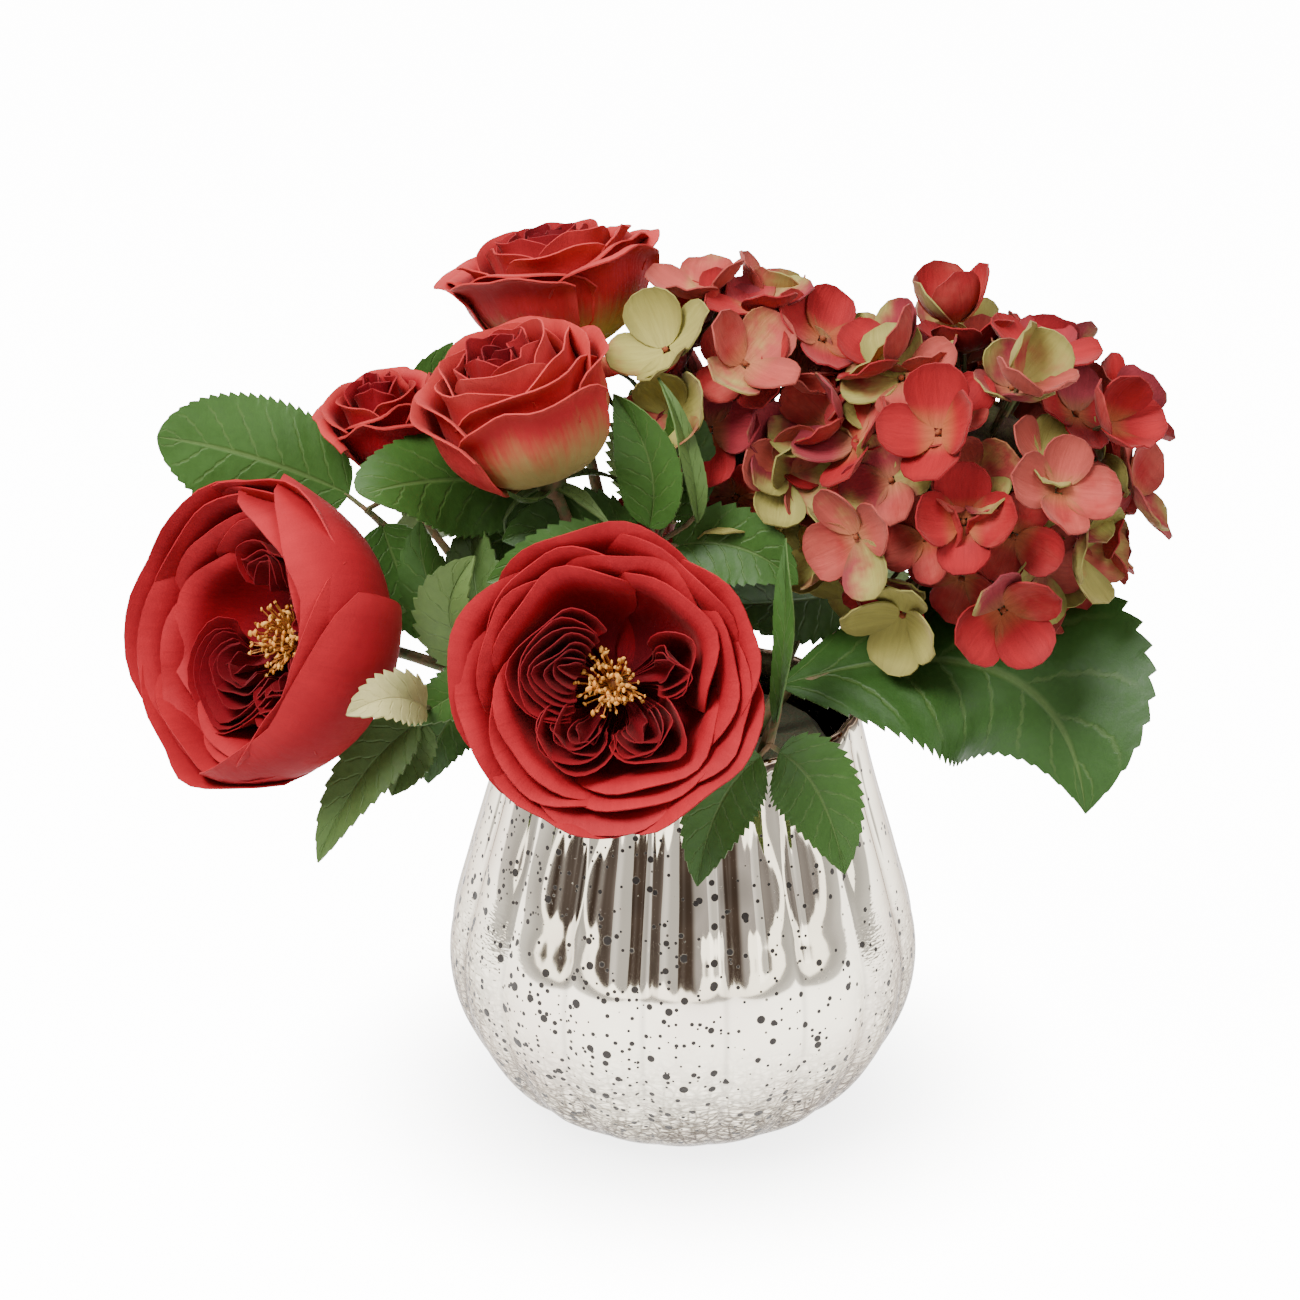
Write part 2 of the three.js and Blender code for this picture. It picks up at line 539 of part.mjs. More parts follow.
const SPRAYS = [
  { name: "spray_upper_left", foot: [-34, 24], through: [[-60, 24, 170], [-92, 14, 200], [-110, 6, 219]],
    radius: 1.5, leaves: [
      { base: [-116, 8, 224], bend: [-148, 4, 242], tip: [-180, -2, 248], face: [0.1, -0.9, 0.4],
        width: 46, teeth: 6, notch: 0.07, fold: -8, shape: ROUND },
      { base: [-98, 16, 222], bend: [-96, 26, 248], tip: [-80, 24, 274], face: [-0.2, -0.9, 0.3], width: 24,
        teeth: 3 },
    ] },
  { name: "spray_centre", foot: [-34, -26], through: [[-38, -22, 170], [-38, -8, 205], [-37, 2, 222]],
    radius: 1.4, leaves: [
      { base: [-42, 3, 228], bend: [-84, -17, 242], tip: [-106, -56, 245], face: [-0.33, -0.84, 0.42],
        width: 40, notch: 0.06, fold: -10, shape: ROUND },
    ] },
  { name: "spray_lower_left", foot: [-42, -24], through: [[-53, -36, 161], [-70, -44, 167], [-84, -46, 166]],
    radius: 1.4, leaves: [
      { base: [-86, -66, 166], bend: [-92, -86, 178], tip: [-110, -92, 170], face: [0.1, -0.75, 0.6],
        width: 24, teeth: 3, notch: 0.14 },
      { base: [-90, -50, 162], bend: [-110, -62, 154], tip: [-124, -64, 117], face: [-0.5, -0.8, 0.2],
        width: 24, notch: 0.1 },
      { base: [-88, -47, 161], bend: [-94, -52, 150], tip: [-99, -56, 138], face: [0.1, -0.9, 0.2], width: 18,
        teeth: 3 },
    ] },
  { name: "spray_left", foot: [-28, -38], through: [[-38, -46, 160], [-60, -42, 174]], radius: 1.3, leaves: [
      { base: [-70, -38, 180], bend: [-88, -44, 198], tip: [-70, -42, 219], face: [-0.5, -0.85, 0.1],
        width: 28, teeth: 3, fold: 25 },
      { base: [-66, -44, 176], bend: [-78, -54, 175], tip: [-92, -64, 167], face: [0, -0.8, 0.5], width: 20,
        teeth: 3 },
    ] },
  { name: "spray_middle", foot: [-2, -18], through: [[-4, -22, 175], [-8, -26, 205], [-10, -28, 218]],
    radius: 1.4, leaves: [
      { base: [-12, -33, 226], bend: [-6, -36, 250], tip: [-24, -28, 271], face: [-0.3, -0.9, 0.2], width: 25,
        teeth: 3, notch: 0.04, fold: 20 },
      { base: [-6, -24, 226], bend: [6, -22, 246], tip: [-4, -14, 268], face: [0.2, -0.9, 0.2], width: 22,
        teeth: 3, notch: 0.04 },
      { base: [4, -34, 228], bend: [4, -40, 256], tip: [-9, -26, 276], face: [0.5, -0.85, 0.2], width: 9,
        teeth: 3, notch: 0.03, fold: 25, shape: SLIM },
      { base: [-22, -34, 219], bend: [-42, -47, 222], tip: [-66, -48, 212], face: [0, -0.85, 0.5], width: 25,
        teeth: 3 },
    ] },
  { name: "spray_front", foot: [24, -38], through: [[29, -50, 161], [30, -62, 168], [28, -71, 163]],
    radius: 1.6, leaves: [
      { base: [25, -74, 160], bend: [8, -79, 150], tip: [4, -83, 117], face: [-0.1, -0.95, 0.1],
        width: 27, notch: 0.1 },
      { base: [31, -73, 161], bend: [46, -79, 156], tip: [53, -82, 121], face: [0.2, -0.95, 0.1],
        width: 32, notch: 0.1 },
      { base: [30, -66, 168], bend: [34, -62, 200], tip: [33, -50, 228], face: [-0.7, -0.7, 0], width: 10,
        teeth: 3, notch: 0.05, fold: 20, shape: SLIM },
    ] },
  { name: "spray_back_left", foot: [-26, 38], through: [[-38, 50, 172], [-50, 60, 198]], radius: 1.5,
    leaves: [
      { base: [-54, 63, 204], bend: [-68, 78, 232], tip: [-92, 82, 240], face: [-0.2, 0.9, 0.4], width: 40,
        teeth: 3 },
      { base: [-56, 58, 196], bend: [-84, 62, 206], tip: [-106, 58, 186], face: [-0.3, 0.8, 0.5], width: 34,
        teeth: 3 },
    ] },
  { name: "spray_back", foot: [-4, 42], through: [[2, 58, 165], [-2, 68, 184]], radius: 1.5, leaves: [
      { base: [-6, 72, 192], bend: [-14, 86, 222], tip: [-8, 80, 246], face: [0, 1, 0.3],
        width: 38, teeth: 3 },
      { base: [6, 73, 184], bend: [26, 92, 200], tip: [44, 96, 190], face: [0.2, 0.8, 0.6],
        width: 34, teeth: 3 },
      { base: [-4, 74, 178], bend: [-14, 88, 162], tip: [-16, 86, 130], face: [0, 1, 0.1],
        width: 32, teeth: 3 },
    ] },
  { name: "spray_back_right", foot: [32, 28], through: [[48, 44, 168], [62, 56, 180]], radius: 1.5,
    leaves: [
      { base: [66, 60, 184], bend: [88, 84, 200], tip: [108, 88, 186], face: [0.2, 0.8, 0.6],
        width: 42, teeth: 3 },
      { base: [66, 62, 178], bend: [76, 76, 166], tip: [80, 80, 140], face: [0.5, 0.9, 0],
        width: 30, teeth: 3 },
    ] },
];

function spray(plan) {
  const made = stem(plan.foot, plan.through, plan.radius);
  const from = plan.through.at(-1);
  const leaves = plan.leaves.map((leaf) => leafBlade({ from, ...leaf }));
  return { solid: join([made.solid, ...leaves]), hole: made.hole };
}

function hydrangeaStem(head) {
  const made = stem(head.foot, [...head.through, head.centre], 2.6);
  const pieces = [join([made.solid.subtract(coreSolid(head, 2 * GAP))])];
  if (head.leaf) pieces.push(leafBlade({ from: head.through[0], ...BIG_LEAF }));
  return { solid: join(pieces), hole: made.hole };
}

// ---------------------------------------------------------------- the whole piece

function finish(color, roughness, metalness = 0) {
  return new THREE.MeshStandardMaterial({ color, roughness, metalness });
}

const GREEN = finish(0x2f5a2c, 0.6);
const GOLD = finish(0xd79a2b, 0.5);
const CORAL = finish(0xc9564d, 0.7);
const SILVER = finish(0xd8d6d2, 0.1, 1);
const FOAM = finish(0x2c3a22, 0.95);

const centerpiece = new THREE.Group();
function put(name, solid, material) {
  const mesh = new THREE.Mesh(toGeometry(solid), material);
  mesh.name = name;
  centerpiece.add(mesh);
}

const stems = [];
for (const rose of ROSES) {
  const made = roseStem(rose);
  stems.push(made);
  put(`${rose.name}_bloom`, bloom(rose), finish(rose.red, 0.75));
  put(`${rose.name}_stem`, made.solid, GREEN);
  if (rose.stamens) put(`${rose.name}_stamens`, stamens(rose), GOLD);
}
for (const head of HYDRANGEAS) {
  const made = hydrangeaStem(head);
  stems.push(made);
  put(`${head.name}_head`, hydrangeaHead(head), CORAL);
  put(`${head.name}_stem`, made.solid, GREEN);
}
for (const plan of SPRAYS) {
  const made = spray(plan);
  stems.push(made);
  put(plan.name, made.solid, GREEN);
}
put("floral_foam", foam(stems), FOAM);
put("vase", vase(), SILVER);

export default centerpiece;
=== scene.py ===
"""Floral table centerpiece: cloth roses, hydrangeas and leaves in a vase of silvered, ribbed glass.

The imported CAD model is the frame. Its plain solids are replaced here by finer pieces on the same lines.
Plans and forms are in millimetres, as in the part's source, and pieces are made in metres.
"""

import math

import bmesh
import bpy
from bpy.props import FloatProperty, FloatVectorProperty, IntProperty, PointerProperty
from mathutils import Matrix, Quaternion, Vector


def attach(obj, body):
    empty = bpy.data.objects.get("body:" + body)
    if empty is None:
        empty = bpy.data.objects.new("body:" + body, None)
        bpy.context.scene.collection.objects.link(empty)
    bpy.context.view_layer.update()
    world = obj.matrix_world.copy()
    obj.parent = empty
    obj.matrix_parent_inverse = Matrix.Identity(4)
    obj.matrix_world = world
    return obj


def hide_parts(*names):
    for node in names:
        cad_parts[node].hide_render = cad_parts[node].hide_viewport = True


bl_info = {
    "name": "Floral table centerpiece",
    "version": (1, 0, 0),
    "blender": (4, 5, 0),
    "location": "3D View > Sidebar > Centerpiece",
    "description": "Builds cloth flowers and a silvered vase around the packed model",
    "category": "Object",
}

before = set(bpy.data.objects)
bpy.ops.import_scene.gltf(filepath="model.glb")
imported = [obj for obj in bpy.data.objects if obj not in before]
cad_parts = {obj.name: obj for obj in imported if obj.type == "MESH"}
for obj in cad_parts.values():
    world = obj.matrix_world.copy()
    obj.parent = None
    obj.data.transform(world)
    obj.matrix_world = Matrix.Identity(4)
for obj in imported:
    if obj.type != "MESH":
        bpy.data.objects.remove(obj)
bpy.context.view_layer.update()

MM = 0.001
UP = Vector((0, 0, 1))

VASE_HEIGHT = 150
VASE_WALL = 3
VASE_FOOT = 30  # radius of the hollow under the vase
VASE_RIBS = 18
RIB_DEPTH = 2
VASE_OUTSIDE = [  # height, radius over the lobes
    (0, 50), (8, 62), (22, 73.3), (42, 82.3), (64, 84.1), (90, 77.8), (122, 68.6), (VASE_HEIGHT, 61.7),
]
FOAM_TOP = 138
STEM_DEPTH = 34  # how far the stems go into the foam
BELLY = 0.72  # share of a petal's length from its root to its belly
RIM = 0.82  # share of a petal's length where its rim starts to roll
FLORET = 22  # length of a floret's petals
LAYER = 0.07  # how far layers of florets lie apart, as a share of the head's reach
INNER_REACH = 0.84  # where the inner florets lie, as a share of the head's reach
INNER_SIZE = 0.86  # size of the inner florets, as a share of the outer ones'
STALK_ROOT = 0.7  # where the florets' stalks start, as a share of the core's radius
LEAF_VEINS = 7.5  # side veins on each side of a leaf
GOLDEN_TURN = 2.39996  # angle from one floret or stamen to the next, in radians
VIEW_MIDDLE = Vector((-0.01176, 0, 0.1693))  # where the camera looks, in metres
LIGHTS_MIDDLE = Vector((0, 0, 0.18))  # where the lights are aimed, in metres
FLOOR_RADIUS = 14  # in metres
FILM = 36  # width of the camera's film


# ---------------------------------------------------------------- settings


def length(name, description, default):
    return FloatProperty(name=name, description=description, default=default, min=0, unit="LENGTH")


def amount(name, description, default):
    return FloatProperty(name=name, description=description, default=default, min=0)


def colour(name, description, default):
    return FloatVectorProperty(name=name, description=description, default=default, size=3, min=0, max=1,
                               subtype="COLOR")


class FlowerSettings(bpy.types.PropertyGroup):
    """Cloth thicknesses, folds and colours of the flowers and leaves."""

    petal_cloth: length("Petal cloth", "Thickness of the cloth of a petal", 0.00055)
    leaf_cloth: length("Leaf cloth", "Thickness of a pressed leaf", 0.0006)
    rim_curl: length("Rim curl", "How far the rims of the outer petals roll back", 0.003)
    petal_wave: length("Petal wave", "How far the rims of petals wave", 0.0021)
    deep_red: colour("Deep red", "Body of the petals of the open roses", (0.25, 0.004, 0.009))
    deep_rim: colour("Deep rim", "Rims of the petals of the open roses", (0.36, 0.012, 0.018))
    coral_red: colour("Coral red", "Body of the petals of the upper roses", (0.37, 0.015, 0.019))
    coral_rim: colour("Coral rim", "Rims of the petals of the upper roses", (0.45, 0.04, 0.035))
    # Painted shade: the near-black red of the deepest petals, and of the heels of the open roses' petals.
    heart_shade: colour("Heart Shade", "The deepest petals of a bloom", (0.11, 0.001, 0.004))
    cream: colour("Cream green", "Heels of the petals of the upper roses", (0.36, 0.3, 0.1))
    floret_red: colour("Floret red", "The reddest florets", (0.27, 0.009, 0.012))
    floret_pink: colour("Floret pink", "The dusty pink florets", (0.34, 0.06, 0.045))
    floret_mauve: colour("Floret mauve", "The mauve florets", (0.22, 0.03, 0.042))
    floret_green: colour("Floret green", "The yellow green florets", (0.29, 0.26, 0.07))
    leaf_green: colour("Leaf green", "Upper side of the leaves", (0.034, 0.086, 0.014))
    # Painted shade: the big leaf's darker green stands for the shade that it lies in.
    leaf_deep_shade: colour("Leaf deep shade", "Upper side of the big leaf", (0.022, 0.062, 0.009))
    leaf_pale: colour("Leaf pale", "Veins and undersides of the leaves", (0.15, 0.2, 0.07))
    leaf_cream: colour("Leaf cream", "The faded tips of a few leaves", (0.4, 0.36, 0.15))
    stalk: colour("Stalk", "Wrapped stems and leaf stalks", (0.07, 0.09, 0.025))
    pollen: colour("Pollen", "Heads of the stamens", (0.6, 0.19, 0.012))


class VaseSettings(bpy.types.PropertyGroup):
    """The silvered glass and the foam inside it."""

    silver: colour("Silver", "The mirror coat", (0.94, 0.87, 0.71))
    fleck: colour("Fleck", "Dark flecks in the mirror coat", (0.025, 0.022, 0.02))
    blush: colour("Blush", "Warm clouds in the mirror coat", (0.82, 0.72, 0.6))
    # shade is painted shade in the valleys between the ribs, and also the colour of the dark chips in the
    # crackle.
    shade: colour("Shade", "Grooves and edges of the coat", (0.3, 0.275, 0.25))
    lip: colour("Lip", "The scuffed lip of the vase", (0.3, 0.22, 0.16))
    scale: length("Fleck spacing", "Mean distance between flecks", 0.0052)
    foam: colour("Foam", "Dry flower foam", (0.035, 0.05, 0.02))
    steps: IntProperty(name="Steps per rib", description="Points round the vase for each rib", default=10,
                       min=4)


class StageSettings(bpy.types.PropertyGroup):
    """Floor, lights and camera."""

    floor: colour("Floor", "Pale floor", (0.4, 0.4, 0.4))
    glow: amount("Floor glow", "Light that the floor adds to the view of it", 14)
    mirror_glow: amount("Mirrored glow", "Light that the floor adds to its reflection", 3)
    distance: length("Camera distance", "From the camera to the middle of the view", 1.2)
    elevation: FloatProperty(name="Elevation", description="Camera's angle above the horizon",
                             default=math.radians(21), subtype="ANGLE")
    width: length("View width", "Width of the view at the middle of the piece", 0.455)
    key: amount("Key light", "Power of the key light in watts", 48)
    fill: amount("Fill light", "Power of the fill light in watts", 9)


# ---------------------------------------------------------------- node helpers


class Wire:
    """What a node puts out. Wires that carry numbers can be added, subtracted and multiplied."""

    def __init__(self, socket):
        self.socket, self.tree = socket, socket.id_data

    def math(self, operation, *values):
        return add(self.tree, "Math", dict(enumerate((self, *values))), operation=operation)[0]

    def __add__(self, other):
        return self.math("ADD", other)

    def __sub__(self, other):
        return self.math("SUBTRACT", other)

    def __mul__(self, other):
        return self.math("MULTIPLY", other)

    def __abs__(self):
        return self.math("ABSOLUTE")

    def most(self, other):
        return self.math("MAXIMUM", other)

    def smooth(self, low, high):
        """0 below low, 1 above high and smooth between them."""
        sockets = {"Value": self, "From Min": low, "From Max": high}
        return add(self.tree, "MapRange", sockets, interpolation_type="SMOOTHSTEP")[0]

    def fade(self, low, high):
        """1 below low, 0 above high and smooth between them."""
        return self.smooth(low, high) * -1.0 + 1.0

    def noise(self, scale, detail=2.0, rough=0.5, bend=0.0):
        sockets = {"Vector": self, "Scale": scale, "Detail": detail, "Roughness": rough, "Distortion": bend}
        return add(self.tree, "TexNoise", sockets)[0]

    def stretched(self, *scale):
        return add(self.tree, "Mapping", {"Vector": self, "Scale": scale})[0]

    def parts(self):
        split = add(self.tree, "SeparateXYZ", {0: self})
        return split[0], split[1], split[2]


def plug(value, socket):
    """Links a wire to a socket, or sets a constant there."""
    if isinstance(value, Wire):
        socket.id_data.links.new(value.socket, socket)
    elif socket.type == "RGBA":
        socket.default_value = (*value, 1)
    else:
        socket.default_value = value


def wires_of(node):
    """The outputs of a node as wires, by place and by name."""
    return {key: Wire(socket) for place, socket in enumerate(node.outputs) for key in (place, socket.name)}


def add(tree, kind, sockets=(), **settings):
    """Adds a shader node with settings, plugs its sockets and gives its wires."""
    node = tree.nodes.new("ShaderNode" + kind)
    for key, value in settings.items():
        setattr(node, key, value)
    for key, value in dict(sockets).items():
        plug(value, node.inputs[key])
    return wires_of(node)


def blend(tree, factor, first, second, kind="MIX"):
    return add(tree, "Mix", {0: factor, 6: first, 7: second}, data_type="RGBA", blend_type=kind)[2]


def new_group(name, colours, numbers, results):
    """A node group's tree, input wires and output sockets. It puts out Colour if it takes colours."""
    tree = bpy.data.node_groups.new(name, "ShaderNodeTree")
    for way, kind, labels in (("INPUT", "Color", colours), ("OUTPUT", "Color", ["Colour"] if colours else []),
                              ("INPUT", "Float", numbers), ("OUTPUT", "Float", results)):
        for label in labels:
            tree.interface.new_socket(label, in_out=way, socket_type="NodeSocket" + kind)
    return tree, wires_of(tree.nodes.new("NodeGroupInput")), tree.nodes.new("NodeGroupOutput").inputs


def use_group(tree, name, values=()):
    """Places a node group in a material, with its own values, and gives its wires."""
    node = tree.nodes.new("ShaderNodeGroup")
    node.node_tree = bpy.data.node_groups[name]
    for key, value in dict(values).items():
        plug(value, node.inputs[key])
    return wires_of(node)


def new_material(name, roughness, **fixed):
    """The tree and the Principled shader of a new material."""
    made = bpy.data.materials.new(name)
    made.use_nodes = True
    shader = made.node_tree.nodes["Principled BSDF"]
    shader.inputs["Roughness"].default_value = roughness
    for key, value in fixed.items():
        shader.inputs[key.replace("_", " ")].default_value = value
    return made.node_tree, shader


def bump(shader, height, distance, strength=1.0):
    bumped = add(height.tree, "Bump", {"Height": height, "Distance": distance, "Strength": strength})
    plug(bumped[0], shader.inputs["Normal"])


# ---------------------------------------------------------------- material effects


def petal_map(tree):
    """A sheet's map, its places across and along the sheet, the distance from its middle and where it is."""
    uv = add(tree, "UVMap", uv_map="UVMap")[0]
    across, along, _ = uv.parts()
    return uv, across, along, abs(across * 2.0 - 1.0), add(tree, "TexCoord")["Object"]


def attributes(tree, *names):
    return [add(tree, "Attribute", attribute_name=name)["Fac"] for name in names]


def put_out(tree, out, body, shade, height):
    """Puts out a colour that is darkened by shade, and a height."""
    grey = add(tree, "CombineColor", {0: shade, 1: shade, 2: shade})[0]
    plug(blend(tree, 1.0, body, grey, "MULTIPLY"), out["Colour"])
    plug(height, out["Height"])


def make_grain_group():
    """Fine cloth grain, as a height."""
    tree, _, out = new_group("cloth grain", (), (), ("Height",))
    place = add(tree, "TexCoord")["Object"]
    plug(place.noise(1400.0, 2.0, 0.6) * 0.18 + place.noise(110.0, 3.0, 0.55), out["Height"])


def make_mottle_group():
    """Two shades in soft spots, with the spots as a height."""
    tree, at, out = new_group("mottle", ("Base", "Other"), ("Scale",), ("Height",))
    spots = add(tree, "TexCoord")["Object"].noise(at["Scale"], 4.0, 0.6)
    plug(blend(tree, spots.smooth(0.35, 0.65), at["Base"], at["Other"]), out["Colour"])
    plug(spots, out["Height"])


def make_petal_group():
    """Colour of a rose petal from its own map: u runs across it and v from its heel to its rim. Deeper petals
    get painted shade.
    """
    tree, at, out = new_group("petal tint", ("Body", "Rim", "Heel", "Heart Shade"), ("Heel Reach",), ("Height",))
    uv, _, along, side, place = petal_map(tree)
    tone, depth = attributes(tree, "tone", "depth")
    streak = uv.stretched(20, 2.2, 1).noise(1.0, 3.0, 0.6)
    cloud = place.noise(45.0, 3.0, 0.55)
    edge = along.smooth(0.84, 1.0).most(side.smooth(0.8, 1.0) * along.smooth(0.3, 0.7))
    body = blend(tree, edge * (cloud * 0.9 + 0.25) * depth.fade(0.1, 0.5), at["Body"], at["Rim"])
    ragged = (streak + cloud) * 0.3 - 0.3
    heel = at["Heel Reach"] * (tone * 1.3 + 0.3) - along - ragged
    body = blend(tree, heel.smooth(-0.22, 0.26), body, at["Heel"])
    # Painted shade: deeper petals take the heart shade colour, and all but the outer petals darken towards
    # their heels.
    sunk_shade = depth.smooth(0.03, 0.12) * along.fade(0.25, 0.65)
    body = blend(tree, depth.smooth(0.1, 0.8).most(sunk_shade), body, at["Heart Shade"])
    put_out(tree, out, body, streak * 0.34 + cloud * 0.24 + 0.72, streak)


def make_floret_group():
    """Colour of a hydrangea petal. tone runs from red through pink to green, depth sets where it turns."""
    tree, at, out = new_group("floret tint", ("Red", "Pink", "Mauve", "Green"), (), ("Height",))
    uv, across, along, side, place = petal_map(tree)
    tone, turn = attributes(tree, "tone", "depth")
    cloud = place.noise(70.0, 3.0, 0.6)
    vein = uv.stretched(15, 1.3, 1).noise(1.0, 2.0, 0.5, 0.4)
    mood = tone + cloud - 0.5
    drift = (turn - 0.5) * (along + across) + mood
    body = blend(tree, mood.smooth(0.05, 0.55), at["Red"], at["Pink"])
    body = blend(tree, turn.smooth(0.6, 0.9) * 0.75, body, at["Mauve"])
    body = blend(tree, drift.smooth(0.55, 0.95), body, at["Green"])
    body = blend(tree, along.fade(0.0, 0.4) * 0.25, body, at["Green"])
    edge = side.smooth(0.55, 1.0).most(along.smooth(0.8, 1.0))
    put_out(tree, out, body, (vein * 0.5 + cloud * 0.3 + 0.66) * (edge * -0.25 + 1.0), vein)


def make_leaf_group():
    """Colour and relief of a leaf with a midrib and slanting side veins, from its own map."""
    tree, at, out = new_group("leaf veins", ("Green", "Pale", "Cream"), ("Veins",), ("Height", "Gloss"))
    _, _, along, side, place = petal_map(tree)
    under, tone = attributes(tree, "under", "tone")
    fine, cloud = place.noise(420.0, 3.0, 0.6), place.noise(60.0, 2.0, 0.5)
    slant = side.math("POWER", 0.85) * -1.6 + along * at["Veins"] + fine * 0.12
    lateral = abs(slant.math("FRACT") - 0.5).fade(0.015, 0.085) * side.fade(0.55, 0.95)
    vein = side.fade(0.012, 0.055).most(lateral * 0.6)
    body = blend(tree, (vein * 0.27).most(under * 0.5).most(tone), at["Green"], at["Pale"])
    body = blend(tree, (cloud * 0.8 + tone).smooth(1.3, 2.2), body, at["Cream"])
    put_out(tree, out, body, fine * 0.35 + cloud * 0.42 + 0.62, vein * -0.8 + fine * 0.35)
    plug(fine * 0.25 + 0.36, out["Gloss"])


def petal_cloth(name, group, values, roughness, sheen, relief):
    """Pressed cloth in the colours of a tint group. sheen is its weight, roughness and tint."""
    tree, shader = new_material(name, roughness, Sheen_Weight=sheen[0], Sheen_Roughness=sheen[1],
                                Sheen_Tint=(*sheen[2], 1), Specular_IOR_Level=0.16)
    cloth = use_group(tree, group, values)
    plug(cloth["Colour"], shader.inputs["Base Color"])
    bump(shader, cloth["Height"] * 0.8 + use_group(tree, "cloth grain")["Height"], relief, 0.7)


def rose_cloth(name, body, rim, heel, heart_shade, reach):
    values = {"Body": body, "Rim": rim, "Heel": heel, "Heart Shade": heart_shade, "Heel Reach": reach}
    petal_cloth(name, "petal tint", values, 0.68, (0.06, 0.4, (1, 0.35, 0.3)), 0.0005)


def floret_cloth(looks):
    values = {"Red": looks.floret_red, "Pink": looks.floret_pink, "Mauve": looks.floret_mauve,
              "Green": looks.floret_green}
    petal_cloth("floret cloth", "floret tint", values, 0.66, (0.12, 0.45, (1, 0.6, 0.5)), 0.0004)


def leaf_cloth(name, green, looks):
    tree, shader = new_material(name, 0.5, Specular_IOR_Level=0.21)
    cloth = use_group(tree, "leaf veins", {"Green": green, "Pale": looks.leaf_pale, "Cream": looks.leaf_cream,
                                           "Veins": LEAF_VEINS})
    plug(cloth["Colour"], shader.inputs["Base Color"])
    plug(cloth["Gloss"], shader.inputs["Roughness"])
    bump(shader, cloth["Height"], 0.0004, 0.8)


def mottled(name, base, other, scale, roughness, relief):
    """Stalks, pollen, foam and the cores of heads."""
    tree, shader = new_material(name, roughness)
    spots = use_group(tree, "mottle", {"Base": base, "Other": other, "Scale": scale})
    plug(spots["Colour"], shader.inputs["Base Color"])
    bump(shader, spots["Height"], relief)


# ---------------------------------------------------------------- forms


def draws(seed):
    """Seeded draws between two limits, the same on every run."""
    state = seed

    def draw(low, high):
        nonlocal state
        state = state * 16807 % 2147483647
        return low + (high - low) * state / 2147483647

    return draw


def new_mesh():
    """An empty bmesh with the maps that the materials read."""
    bm = bmesh.new()
    bm.loops.layers.uv.new("UVMap")
    for label in ("tone", "depth", "under"):
        bm.verts.layers.float.new(label)
    return bm


def sheet(bm, columns, rows, surface, thickness, tone=0.0, depth=0.0, material=0):
    """A closed cloth sheet on surface(u, v), u -1..1 across it and v 0..1 along it, in millimetres."""
    made = bmesh.ops.create_grid(bm, x_segments=columns, y_segments=rows, size=1, calc_uvs=True)
    layers = bm.verts.layers.float
    for vert in made["verts"]:
        vert.co = surface(vert.co.x, (vert.co.y + 1) / 2) * MM
        vert[layers["tone"]], vert[layers["depth"]] = tone, depth
    backs = list({face for vert in made["verts"] for face in vert.link_faces})
    for face in backs:
        face.material_index = material
        face.normal_update()
    for vert in made["verts"]:
        vert.normal_update()
    ways = [vert.normal * thickness / 2 for vert in made["verts"]]
    shell = bmesh.ops.extrude_face_region(bm, geom=backs, use_keep_orig=True)
    for item in shell["geom"]:
        if isinstance(item, bmesh.types.BMVert):
            item.co += item.normal * thickness / 2
    for vert, way in zip(made["verts"], ways):
        vert.co -= way
        vert[layers["under"]] = 1.0
    closed = {face for vert in made["verts"] for face in vert.link_faces}
    closed |= {item for item in shell["geom"] if isinstance(item, bmesh.types.BMFace)}
    bmesh.ops.recalc_face_normals(bm, faces=list(closed))


def smooth_path(points, steps):
    """Points on a smooth line through the given ones, steps between each two."""
    pins = [2 * points[0] - points[1], *points, 2 * points[-1] - points[-2]]
    path = []
    for pinned in zip(pins, pins[1:], pins[2:], pins[3:]):
        knots = [0.0]
        for near, far in zip(pinned, pinned[1:]):
            knots.append(knots[-1] + max(1e-6, (far - near).length ** 0.5))
        for k in range(steps):
            t = knots[1] + (knots[2] - knots[1]) * k / steps
            row = pinned
            for starts, stops in ((knots, knots[1:]), (knots, knots[2:]), (knots[1:], knots[2:])):
                row = [near.lerp(far, (t - start) / (stop - start))
                       for near, far, start, stop in zip(row, row[1:], starts, stops)]
            path.append(row[0])
    return [*path, points[-1].copy()]


def tube(bm, path, radius, sides=8, material=0, tone=0.0):
    """A closed tube along a path in millimetres. radius is a number or a function of the share along it."""
    rings = []
    for k, spot in enumerate(path):
        ahead = (path[min(k + 1, len(path) - 1)] - path[max(k - 1, 0)]).normalized()
        size = radius(k / (len(path) - 1)) if callable(radius) else radius
        place = Matrix.Translation(spot * MM) @ UP.rotation_difference(ahead).to_matrix().to_4x4()
        end = k in (0, len(path) - 1)
        made = bmesh.ops.create_circle(bm, cap_ends=end, cap_tris=False, segments=sides, radius=size * MM,
                                       matrix=place)
        rings.append(made["verts"])
    for low, high in zip(rings, rings[1:]):
        edges = {edge for ring in (low, high) for vert in ring for edge in vert.link_edges
                 if edge.other_vert(vert) in ring}
        bmesh.ops.bridge_loops(bm, edges=list(edges))
    faces = {face for ring in rings for vert in ring for face in vert.link_faces}
    for face in faces:
        face.material_index = material
    for ring in rings:
        for vert in ring:
            vert[bm.verts.layers.float["tone"]] = tone
    bmesh.ops.recalc_face_normals(bm, faces=list(faces))


def finish_piece(bm, name, materials, nodes):
    """Makes the piece's object, which rides on the root body and stands for its CAD nodes."""
    mesh = bpy.data.meshes.new(name)
    bm.to_mesh(mesh)
    bm.free()
    for label in materials:
        mesh.materials.append(material_of(label))
    mesh.shade_smooth()
    mesh.set_sharp_from_angle(angle=math.radians(48))
    piece = bpy.data.objects.new(name, mesh)
    bpy.context.scene.collection.objects.link(piece)
    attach(piece, "root")
    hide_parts(*nodes)
    return piece


def material_of(name):
    return bpy.data.materials[name]


# ---------------------------------------------------------------- roses


